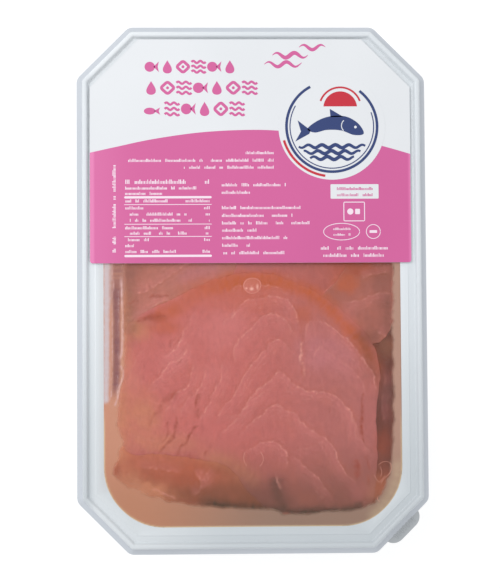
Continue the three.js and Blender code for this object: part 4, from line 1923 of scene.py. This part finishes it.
@dataclass
class OilBath:
    """The oil: a body up to the film that reaches just into the tray's wall."""

    tray: Tray
    stack: SliceStack
    top: float = 20.25
    highest: float = 20.5
    step: float = 0.5
    skirt: Points = ((0.3, 19.4), (2.7, 3.5), (3.8, 1.9), (6.0, 1.35))
    finish: TintedOil = TintedOil()
    hidden_share: float = 0.015
    COVER_START = 1.5
    COVER_RUN = 1.6
    GLINT_WIDTH = 0.4
    GLINT_STRENGTH = 0.85
    GLINT_TOP = (-42.0, 12.0)
    marks: tuple[Stroke | Patch, ...] = (
        # A pale band where the cavity wall shows at the oil's edge.
        Stroke(Mark.HAZE_AND_RIM_SHEEN, ((-54, 20), (-54, -20), (-54.3, -43)), 1.1, 0.9,
               ends=0.03, ragged=0.1, power=4),
        Stroke(Mark.HAZE_AND_RIM_SHEEN, ((-52.7, 20), (-52.7, 6), (-52.8, -8)), 0.8, 0.4, power=4),
        # Painted shade: the dark plum band at the bottom of the air strip.
        Stroke(Mark.PLUM, ((-49.9, 20), (-49.8, 10), (-49.8, 0), (-49.9, -8)), 2.6, 0.7, -0.3,
               ends=0.22, power=4),
        Stroke(Mark.PLUM, ((-50, 4), (-50.2, -4), (-50.2, -10), (-50.2, -25), (-50.5, -35),
                           (-51.2, -42)), 1.35, 1.0, -0.7, ends=0.16, ragged=0.15, power=4),
        # Painted highlights: the bright meniscus lines at the edges of the air strip.
        Stroke(Mark.SHINE, ((-51.7, 20), (-51.7, 9.4), (-51.6, -2.4), (-51.9, -15.7), (-51.9, -19.4),
                            (-52.1, -32), (-52.5, -40.4), (-53.4, -42.4)), 0.22, 0.75, 0.06,
               ends=0.03),
        Stroke(Mark.SHINE, ((-48.7, 6), (-48.4, 1.3), (-48.1, -6.1), (-48, -13.5), (-48.2, -20.9),
                            (-49, -26.4), (-49.3, -28.1)), 0.38, 0.8, 0.08, ends=0.12),
        Stroke(Mark.SHINE, ((-49.3, -28.1), (-47.9, -30.1), (-47.9, -32.5), (-49, -35.3), (-50, -40.4),
                            (-51.1, -43.5)), 0.34, 0.8, 0.08, ends=0.06),
        Stroke(Mark.FAT, ((-47, 6), (-46.7, 1.3), (-46.6, -6.1), (-46.8, -20.9),
                          (-47.3, -23.9)), 0.28, 0.15, ends=0.1),
        # Painted highlight: a pale line along the cavity's lower edge, where the oil meets the wall.
        Stroke(Mark.GOLD, ((53.4, -62), (52.6, -71), (49.5, -78), (45, -83), (41, -85.5)), 1.8, 0.3,
               ends=0.15, ragged=0.3),
        Patch(Mark.COVER, -44, -73.5, 8, 3.5, 0.35, -20),
    )

    def build(self) -> None:
        """Makes the oil and dresses it."""
        outline = self.tray.cavity_outline(0.02)
        fine = smooth_loop(outline, 0.7)
        spots, squares, loop = patchwork(fine, self.step)
        covers, relief = painted(spots, self.marks, 71, 0.12)
        edge = nearest(fine, spots)[1]
        # Painted highlight along the lower cavity edge, laid into the gold mark.
        low, run = self.GLINT_TOP
        glint = self.GLINT_STRENGTH * np.exp(-(edge / self.GLINT_WIDTH) ** 2)
        glint = glint * ease((low - spots[:, 1]) / run)
        covers[Mark.GOLD.value] = 1 - (1 - covers[Mark.GOLD.value]) * (1 - glint)
        uneven = layered(spots, (75, 7.0, 0.25), (77, 2.6, 0.1))
        alone = ease((self.stack.beyond(spots) + uneven + self.COVER_START) / self.COVER_RUN)
        clear = (1 - self.hidden_share) * (1 - alone)
        for values in covers.values():
            clear = clear * (1 - 0.95 * values)
        heights = self.top + relief + 0.03 * Waves(73, 16.0).at(spots) * ease(edge / 4)
        heights = np.minimum(heights, self.highest)
        solid = thick_sheet(spots, squares, loop, heights, self.skirt)
        for mark in (Mark.FAT, Mark.HAZE_AND_RIM_SHEEN, Mark.PLUM, Mark.SHINE, Mark.GOLD):
            solid.marks[mark.value] = with_skirt(covers[mark.value], loop, len(self.skirt))
        below = np.ones(len(loop) * len(self.skirt))
        solid.marks[Mark.COVER.value] = np.concatenate([1 - clear, below])
        piece = solid.piece("oil")
        let_light_through(piece)
        declare(piece, material_of(self.finish), ["oil"])


@dataclass
class LidFilm:
    """The clear film, sealed to the flange and lightly rippled."""

    tray: Tray
    inset: float = 4.8
    bottom: float = 20.62
    top: float = 20.88
    step: float = 1.5
    ripple: float = 0.03
    finish: ClearFilm = ClearFilm()

    def build(self) -> None:
        """Makes the film and dresses it."""
        outline = smooth_loop(self.tray.rim_outline(self.inset), 1.2)
        spots, squares, loop = patchwork(outline, self.step)
        edge = ease(nearest(outline, spots)[1] / 8)
        waves = layered(spots, (81, 34.0, 0.7), (83, 11.0, 0.3))
        heights = self.top + self.ripple * waves * edge
        solid = thick_sheet(spots, squares, loop, heights, ((0.0, self.bottom),))
        piece = solid.piece("lid_film")
        let_light_through(piece)
        declare(piece, material_of(self.finish), ["lid_film"])


@dataclass
class Bubbles:
    """Air under the film: a flat round bubble and the fine threads that float in the oil."""

    centre: tuple[float, float] = (0.0, 1.0)
    half: tuple[float, float] = (3.35, 3.1)
    base: float = 20.24
    crown: float = 0.16
    turns: int = 72
    levels: int = 18
    thread_level: float = 20.42
    thread_radius: float = 0.065
    thread_step: float = 0.25
    glints: tuple[tuple[float, float, float, float, float], ...] = (
        (-2.2, -1.0, 0.4, 0.4, 0.8), (-0.25, -1.2, 0.75, 0.6, 0.9), (1.9, -0.4, 0.45, 1.0, 0.7),
    )
    threads: tuple[Points, ...] = (
        ((-3.1, -60.6), (-3.6, -62.4), (-3.3, -64.2), (-2.4, -65.6)),
        ((2.6, -60.4), (3.5, -62), (3.5, -64), (2.3, -65.8)),
        ((46.1, -65.6), (47.8, -64.5), (49.4, -64.3), (50.7, -65.3), (50.9, -67.2), (50.2, -68.7),
         (48.1, -70.8), (47.1, -72.4)),
        ((44.7, -69.5), (46.3, -71.8), (48.6, -69.6)),
        ((46.7, -66.1), (47.4, -68), (47.0, -69.8)),
        ((45.6, -77.1), (45.7, -78.2), (46.5, -79.1)),
    )
    rim_place: float = 0.93
    rim_width: float = 0.045
    finish: BubbleSkin = BubbleSkin()
    thread_finish: PrintedPaper = PrintedPaper("pale_thread", Tone(220, 154, 134))

    def dome(self) -> Shape:
        """The bubble's low dome, with its pale rim and its glints as marks of painted highlight.

        Returns:
            The closed solid.
        """
        angle = np.arange(self.turns) / self.turns * 2 * math.pi
        wave = 1 + 0.02 * np.sin(2 * angle + 1) + 0.015 * np.sin(3 * angle)
        circle = np.column_stack([np.cos(angle), np.sin(angle)]) * self.half * wave[:, None]
        rings = [level_ring(self.centre + circle, self.base - 0.1)]
        rim = [np.zeros(self.turns)]
        glint = [np.zeros(self.turns)]
        for level in range(self.levels):
            share = math.sqrt(1 - level / self.levels) if level else 1.0
            local = share * circle
            rings.append(level_ring(self.centre + local, self.base + self.crown * (1 - share ** 2)))
            # Painted highlight: the rim is brightest at its left and right sides.
            side = 0.45 + 0.4 * np.abs(np.cos(angle))
            rim.append(side * math.exp(-((share - self.rim_place) / self.rim_width) ** 2))
            spots = np.zeros(self.turns)
            for x, y, half_x, half_y, strength in self.glints:
                gap = ((local[:, 0] - x) / half_x) ** 2 + ((local[:, 1] - y) / half_y) ** 2
                spots = np.maximum(spots, strength * np.exp(-gap ** 1.5))
            glint.append(spots)
        shape = stacked(rings)
        shape.marks[Mark.HAZE_AND_RIM_SHEEN.value] = np.concatenate(rim)
        shape.marks[Mark.SHINE.value] = np.concatenate(glint)
        return shape

    def build(self) -> None:
        """Makes the bubble and the threads."""
        bubble = self.dome().piece("air_bubble")
        let_light_through(bubble)
        declare(bubble, material_of(self.finish))
        paths = [smooth_path(thread, False, self.thread_step) for thread in self.threads]
        guides = [level_ring(path, self.thread_level) for path in paths]
        material = material_of(self.thread_finish)
        piece = ThreadRule().made("oil_threads", guides, material, Radius=self.thread_radius * MM)
        let_light_through(piece)
        declare(piece, material)


# ---------------------------------------------------------------- the label


def block(left: float, right: float, low: float, high: float, radius: float) -> np.ndarray:
    """The outline of a rectangle with round corners.

    Args:
        left: Its left side.
        right: Its right side.
        low: Its lower side.
        high: Its upper side.
        radius: The radius of its corners, at most.

    Returns:
        The outline's points, anticlockwise.
    """
    points = []
    radius = min(radius, (right - left) / 2.01, (high - low) / 2.01)
    corners = ((right - radius, low + radius), (right - radius, high - radius),
               (left + radius, high - radius), (left + radius, low + radius))
    for index, (x, y) in enumerate(corners):
        for step in range(5):
            angle = (index - 1 + step / 4) * math.pi / 2
            points.append((x + radius * math.cos(angle), y + radius * math.sin(angle)))
    return np.array(points)


def ribbon(path: np.ndarray, half: float | np.ndarray) -> np.ndarray:
    """The outline of a flat band along a path.

    Args:
        path: The path's points.
        half: Half the band's width, all along or at each point.

    Returns:
        The outline, anticlockwise.
    """
    side = leftwards(headings(path)) * np.broadcast_to(half, len(path))[:, None]
    return np.vstack([path - side, (path + side)[::-1]])


def arc(
    centre: tuple[float, float], radius: float, start: float, end: float, count: int = 64
) -> np.ndarray:
    """Points along an arc, its angles in degrees."""
    angle = np.radians(np.linspace(start, end, count))
    return np.array(centre) + radius * np.column_stack([np.cos(angle), np.sin(angle)])


def almost_closed(loop: np.ndarray) -> np.ndarray:
    """A loop's points, ended a hair before its start."""
    return np.vstack([loop, 0.97 * loop[:1] + 0.03 * loop[-1:]])


def counter(outline: np.ndarray) -> np.ndarray:
    """Makes an outline run anticlockwise.

    Args:
        outline: The outline's points.

    Returns:
        The same points, in the other order where that is needed.
    """
    x, y = outline[:, 0], outline[:, 1]
    area = (x * np.roll(y, -1) - np.roll(x, -1) * y).sum()
    return outline if area > 0 else outline[::-1]


class Motif(Enum):
    """The figures of the headline."""

    FISH = "fish"
    DROP = "drop"
    DIAMOND = "diamond with a dot"
    WAVES = "three waves"


@dataclass
class Label:
    """The printed label: white stock, a pink field with a curved top, and generic print."""

    left: float = -60.0
    right: float = 59.2
    low: float = 9.4
    high: float = 93.0
    chamfer: float = 18.0
    corner: float = 1.0
    bottom: float = 20.97
    stock: float = 21.12
    ink: float = 0.03
    badge: tuple[float, float] = (30.0, 60.2)
    badge_radius: float = 19.9
    headline_stroke: float = 1.1
    STROKE_PITCH = 0.55
    STROKE_WIDTH = 0.29
    TRIM = 0.03
    WAVE_HEIGHT = 0.9
    WAVE_PACE = 0.95
    POINTED = 0.12
    white: PrintedPaper = PrintedPaper("label_stock", Tone(237, 239, 242))
    # The pink's paler edge tone is a painted sheen.
    pink: PrintedPaper = PrintedPaper("pink_print", Tone(218, 101, 161), Tone(240, 134, 188))
    navy: PrintedPaper = PrintedPaper("navy_print", Tone(48, 66, 120))
    red: PrintedPaper = PrintedPaper("red_print", Tone(206, 44, 62))
    pale: PrintedPaper = PrintedPaper("pale_print", Tone(254, 234, 246))
    field_top: Points = (
        (59.18, 49.9), (48.3, 53.0), (38, 55.1), (29.9, 56.4), (10, 58.7), (-1.2, 59.0), (-18.9, 58.1),
        (-37.8, 55.4), (-50, 52.8), (-59.98, 50.6),
    )

    def layer(self, name: str, outlines: Sequence[np.ndarray], level: int, print_: PrintedPaper) -> None:
        """Prints flat shapes.

        Args:
            name: The piece's name.
            outlines: Their outlines, anticlockwise.
            level: How many layers of print lie under them.
            print_: Their colour.
        """
        bottom = self.stock + (level - 0.4) * self.ink
        shape = None
        for outline in outlines:
            flat = plate(outline, bottom, self.stock + (level + 1) * self.ink)
            shape = flat if shape is None else shape.plus(flat)
        declare(shape.piece(name, smooth=False), material_of(print_))

    def sheet(self) -> np.ndarray:
        """The label's outline: two upper corners cut off and two lower ones rounded.

        Returns:
            The outline's points, anticlockwise.
        """
        lower = block(self.left, self.right, self.low, self.high, self.corner)
        return np.vstack([
            lower[:5],
            [(self.right, self.high - self.chamfer), (self.right - self.chamfer, self.high),
             (self.left + self.chamfer, self.high), (self.left, self.high - self.chamfer)],
            lower[-5:],
        ])

    def fields(self) -> None:
        """The stock, the pink field and the white badge."""
        stock = plate(self.sheet(), self.bottom, self.stock)
        declare(stock.piece("label", smooth=False), material_of(self.white), ["label"])
        left, right = self.left + self.TRIM, self.right - self.TRIM
        lower = block(left, right, self.low + self.TRIM, self.high, self.corner)
        top = smooth_path(self.field_top, False, 1.0)
        self.layer("pink_field", [np.vstack([lower[:5], top, lower[-5:]])], 0, self.pink)
        self.layer("badge_disc", [arc(self.badge, self.badge_radius, 0, 356, 120)], 1, self.white)

    def motif(
        self, kind: Motif, left: float, right: float, low: float, high: float
    ) -> list[np.ndarray]:
        """One figure of the headline.

        Args:
            kind: Which figure it is.
            left: Its left side.
            right: Its right side.
            low: Its lower side.
            high: Its upper side.

        Returns:
            The outlines that make it.
        """
        half = self.headline_stroke / 2
        middle = np.array([(left + right) / 2, (low + high) / 2])
        reach = np.array([(right - left) / 2, (high - low) / 2])
        turn = np.linspace(0, 2 * math.pi, 36, endpoint=False)
        if kind is Motif.WAVES:
            at = np.linspace(-1, 1, 30)
            wave = middle + np.column_stack([at * reach[0], 0.4 * np.sin(at * 2 * math.pi)])
            rows = [wave + (0, lift * (reach[1] - 0.7)) for lift in (-1, 0, 1)]
            return [ribbon(row, 0.8 * half) for row in rows]
        if kind is Motif.DROP:
            drop = np.column_stack([np.sin(-turn) * np.abs(np.sin(turn / 2)) ** 1.5, np.cos(turn)])
            return [counter(middle + drop * (0.9 * reach[0], reach[1]))]
        if kind is Motif.FISH:
            body = np.column_stack([np.cos(turn), np.sin(turn)]) * (0.72, 0.75) - (0.28, 0)
            tail = np.array([(0.25, 0), (1, 0.8), (0.84, 0), (1, -0.8)])
            return [counter(middle + part * reach) for part in (body, tail[::-1])]
        slant = math.sqrt(0.5)
        square = block(-1, 1, -1, 1, 0.45) @ np.array([(slant, slant), (-slant, slant)])
        loop = middle + square / np.abs(square).max() * (reach - half)
        return [ribbon(almost_closed(smooth_loop(loop, 0.25)), half), arc(middle, half, 0, 350, 20)]

    def headline(self) -> None:
        """Three rows of plain figures where the name of the food stands, and the waves beside them."""
        kinds = list(Motif)
        figures = []
        for first, left, right, low, high, count in (
            (0, -39.6, -5.2, 80.2, 85.2, 6), (1, -40.0, 2.3, 72.2, 77.4, 7),
            (0, -39.9, -33.9, 64.4, 67.8, 1), (3, -32.2, -2.5, 64.2, 69.6, 5),
        ):
            gap = 0.1 * (high - low)
            width = (right - left - gap * (count - 1)) / count
            for place in range(count):
                x = left + place * (width + gap)
                figures += self.motif(kinds[(first + place) % len(kinds)], x, x + width, low, high)
        self.layer("headline_figures", figures, 0, self.pink)
        strokes = []
        for left, right, y, half in (
            (5.0, 19.0, 83.6, 0.7), (8.0, 21.3, 87.0, 0.8), (18.0, 27.8, 90.0, 0.65),
        ):
            at = np.linspace(left, right, 60)
            path = np.column_stack([at, y + self.WAVE_HEIGHT * np.sin((at - left) * self.WAVE_PACE)])
            taper = np.sin(np.linspace(self.POINTED, math.pi - self.POINTED, len(path)))
            strokes.append(ribbon(path, half * taper))
        self.layer("headline_waves", strokes, 0, self.pink)

    def badge_print(self) -> None:
        """The badge: a ring with a leaping fish over waves, and a low sun behind it."""
        x, y = self.badge
        rings = [
            ribbon(arc((x, y), 16.9, 118, 412, 120), 0.5),
            ribbon(arc((x, y), 15.6, 150, 380, 110), 0.2),
        ]
        waves = []
        for row, (low, span) in enumerate(((-7.4, 12.4), (-9.6, 10.6), (-11.8, 8.2))):
            at = np.linspace(-span, span, 90)
            wave = np.column_stack([x + at, y + low + 0.55 * np.sin(at * 1.25 + row * 1.9)])
            waves.append(ribbon(wave, 0.4 + 0.3 * np.cos(at / span * math.pi / 2)))
        body = smooth_path(((-8.6, -1.2), (-5.2, 1.6), (-0.6, 3.0), (4.0, 2.6), (7.6, 0.2), (8.9, -2.6),
                            (6.0, -3.0), (2.0, -1.6), (-2.6, -1.4), (-6.4, -2.2)), True, 0.5)
        tail = np.array([(-7.6, -1.5), (-11.6, 1.6), (-10.6, -1.9), (-12.4, -5.0), (-8.0, -2.6)])[::-1]
        fin = np.array([(-1.4, 2.6), (2.6, 2.7), (-1.6, 5.2)])
        fish = [1.2 * counter(outline) + (x + 1.2, y + 0.4) for outline in (body, tail, fin)]
        self.layer("badge_navy", rings + waves + fish, 2, self.navy)
        sun = (x + 3.2, y + 6.9)
        self.layer("badge_red", [
            arc(sun, 6.3, 6, 174, 48),
            ribbon(arc((x, y), 18.6, 196, 262, 60), 0.45),
            ribbon(arc(sun, 7.8, 20, 160, 40), 0.34),
        ], 2, self.red)
        gill = ribbon(arc((x + 6.2, y + 0.3), 2.6, 130, 225, 20), 0.16)
        eye = arc((x + 8.8, y - 0.2), 0.5, 0, 350, 20)
        self.layer("badge_details", [gill, eye], 3, self.white)

    def small_print(self) -> None:
        """Rows of fine print, the rules between them, and the small boxes and rings."""
        self.print_rows("contents_rows", 0.85, 1.15, (
            (-2.5, 8.5, 49.9), (-46, 8.5, 47.1), (-25.4, 8.5, 44.5)))
        self.print_rows("table_head", 1.05, 1.6, ((-47.2, -15.5, 38.9),))
        self.print_rows("table_rows", 0.85, 1.15, (
            (-47.2, -20.3, 36.8), (-47.2, -33, 34.8), (-47.2, -31, 32), (-24.8, -15.4, 32),
            (-47.2, -40, 29.4), (-18, -15.4, 29.4), (-45.5, -24, 27.1), (-17.4, -15.4, 27.1),
            (-45.5, -22, 24.8), (-18, -15.4, 24.8), (-47.2, -29, 22), (-17.8, -15.4, 22),
            (-45.5, -24, 20), (-17.4, -15.4, 20), (-47.2, -38, 17.6), (-18, -15.4, 17.6),
            (-47.2, -43, 15.4), (-17, -15.4, 15.4), (-47.2, -28, 13.2), (-18.6, -15.4, 13.2)))
        self.print_rows("notes_rows", 0.88, 1.2, (
            (-11.4, 12.9, 37.9), (-11.4, -0.4, 35.1), (-11.4, 18.3, 29.4), (-11.4, 15.3, 26.5),
            (-11.4, 21.6, 23.7), (-11.4, 1.9, 21), (-11.4, 13.3, 18.2), (-11.4, 0.5, 15.4),
            (-11.4, 12.2, 12.6)))
        self.print_rows("address_rows", 0.92, 1.3, ((25.2, 50.7, 14.2), (26.1, 49.7, 11.5)))
        self.print_rows("oval_rows", 0.7, 0.9, ((30.0, 36.8, 21.5), (30.0, 36.8, 19.4)))
        self.print_rows("side_row", 0.9, 1.3, ((13.2, 46.2, -50.4),), upright=True)
        self.layer("notice_box", [block(29.3, 47.2, 33.2, 38.6, 0.3)], 1, self.white)
        self.print_rows("notice_rows", 0.85, 1.1, ((31.4, 45.2, 36.4), (31.4, 45.2, 34.1)), 2, self.pink)
        rules = [block(-47.3, -14.9, y - half, y + half, half) for y, half in (
            (33.9, 0.42), (31.2, 0.12), (23.9, 0.12), (19.3, 0.12), (12.1, 0.42))]
        self.layer("table_rules", rules, 1, self.pale)
        square = smooth_loop(block(34.2, 41.9, 24.9, 31.9, 0.2), 0.4)
        angle = np.radians(np.linspace(0, 357, 80))
        oval = np.column_stack([33.3 + 6.7 * np.cos(angle), 20.9 + 3.1 * np.sin(angle)])
        marks = [
            ribbon(almost_closed(square), 0.16),
            ribbon(oval, 0.13),
            ribbon(arc((45.1, 20.9), 2.6, 0, 357), 0.13),
            arc((36.6, 28.4), 1.15, 0, 350, 24),
            block(38.4, 40.2, 27.4, 29.4, 0.3),
            block(43.7, 46.5, 20.4, 21.4, 0.2),
        ]
        self.layer("small_marks", marks, 1, self.pale)

    def print_rows(
        self, name: str, pitch: float, tall: float, rows: Sequence[tuple[float, float, float]],
        level: int = 1, print_: PrintedPaper | None = None, upright: bool = False,
    ) -> None:
        """Makes one piece of fine print.

        Args:
            name: The piece's name.
            pitch: The distance from letter to letter.
            tall: The height of a tall letter.
            rows: Each row's start and end, and the line that it stands on.
            level: How many layers of print lie under it.
            print_: Its colour, pale if none is given.
            upright: Whether the rows run up the label.
        """
        height = self.stock + (level + 0.2) * self.ink
        guides = []
        for start, end, line in rows:
            ends = [(start + pitch / 2, line), (end - pitch / 2, line)]
            guides.append(np.array([(*(spot[::-1] if upright else spot), height) for spot in ends]))
        material = material_of(print_ or self.pale)
        self.seed += 1
        piece = self.rule.made(
            name, guides, material, Pitch=self.STROKE_PITCH * pitch * MM, Height=tall * MM,
            Width=self.STROKE_WIDTH * pitch * MM, Thickness=1.8 * self.ink * MM, Seed=self.seed,
        )
        declare(piece, material)

    def build(self) -> None:
        """Makes the label and everything printed on it."""
        self.rule = PrintRule()
        self.seed = 2
        self.fields()
        self.headline()
        self.badge_print()
        self.small_print()


# ---------------------------------------------------------------- studio


@dataclass(frozen=True)
class Lamp:
    """A square soft light that points at the pack."""

    name: str
    place: tuple[float, float, float]
    size: float
    power: float
    colour: tuple[float, float, float] = (1.0, 1.0, 1.0)

    def build(self) -> None:
        """Makes the light."""
        data = bpy.data.lights.new(self.name, "AREA")
        data.size = self.size
        data.energy = self.power
        data.color = self.colour
        lamp = placed(self.name, data)
        lamp.location = self.place
        lamp.rotation_euler = (-Vector(self.place)).to_track_quat("-Z", "Y").to_euler()


@dataclass
class Studio:
    """The floor, the lights and the camera, which looks down almost upright."""

    lean: tuple[float, float] = (-2.0, -3.61)
    distance: float = 0.8
    lens: float = 132.2
    roll: float = -0.377
    aim: tuple[float, float, float] = (-0.87, -2.1, 20.3)
    floor_size: float = 3.0
    floor_squares: int = 8
    daylight: tuple[float, float, float] = (0.97, 0.985, 1.0)
    daylight_strength: float = 0.7
    lamps: tuple[Lamp, ...] = (Lamp("key_light", (-0.38, 0.26, 0.68), 0.5, 2.4),)

    def camera(self) -> None:
        """Makes the camera at the photo's viewing angle."""
        data = bpy.data.cameras.new("camera")
        data.lens = self.lens
        data.sensor_width = 36.0
        data.sensor_fit = "AUTO"
        data.clip_start = 0.01
        camera = placed("camera", data)
        lean_x, lean_y = (math.sin(math.radians(angle)) for angle in self.lean)
        back = Vector((lean_x, lean_y, math.sqrt(1 - lean_x ** 2 - lean_y ** 2)))
        right = Vector((0, 1, 0)).cross(back).normalized()
        look = Matrix((right, back.cross(right), back)).transposed().to_quaternion()
        camera.location = Vector(self.aim) * MM + self.distance * back
        camera.rotation_mode = "QUATERNION"
        camera.rotation_quaternion = look @ Quaternion((0, 0, 1), math.radians(self.roll))
        bpy.context.scene.camera = camera

    def floor(self) -> None:
        """Makes the floor."""
        half = self.floor_size / 2
        row = self.floor_squares + 1
        at = np.linspace(-half, half, row)
        grid = np.array([(x, y, 0.0) for y in at for x in at]) / MM
        starts = [y * row + x for y in range(self.floor_squares) for x in range(self.floor_squares)]
        faces = [(start, start + 1, start + row + 1, start + row) for start in starts]
        floor = Shape(grid, faces).piece("floor", smooth=False)
        floor.data.materials.append(material_of(StudioPaper()))

    def build(self) -> None:
        """Makes the whole studio."""
        scene = bpy.context.scene
        scene.view_settings.view_transform = "Standard"
        world = bpy.data.worlds.new("studio")
        world.use_nodes = True
        graph = Graph(world.node_tree)
        sockets = {"Color": (*self.daylight, 1.0), "Strength": self.daylight_strength}
        light = graph.node("ShaderNodeBackground", None, sockets)
        graph.node("ShaderNodeOutputWorld", None, {"Surface": light.outputs[0]})
        scene.world = world
        self.camera()
        self.floor()
        for lamp in self.lamps:
            lamp.build()


def main() -> None:
    """Builds the studio and the pack, from the floor up."""
    logging.basicConfig(level=logging.INFO, format="%(name)s %(message)s")
    Studio().build()
    tray = Tray()
    tray.build()
    stack = SliceStack()
    stack.build()
    OilBath(tray, stack).build()
    Bubbles().build()
    LidFilm(tray).build()
    Label().build()


if __name__ == "__main__":
    main()
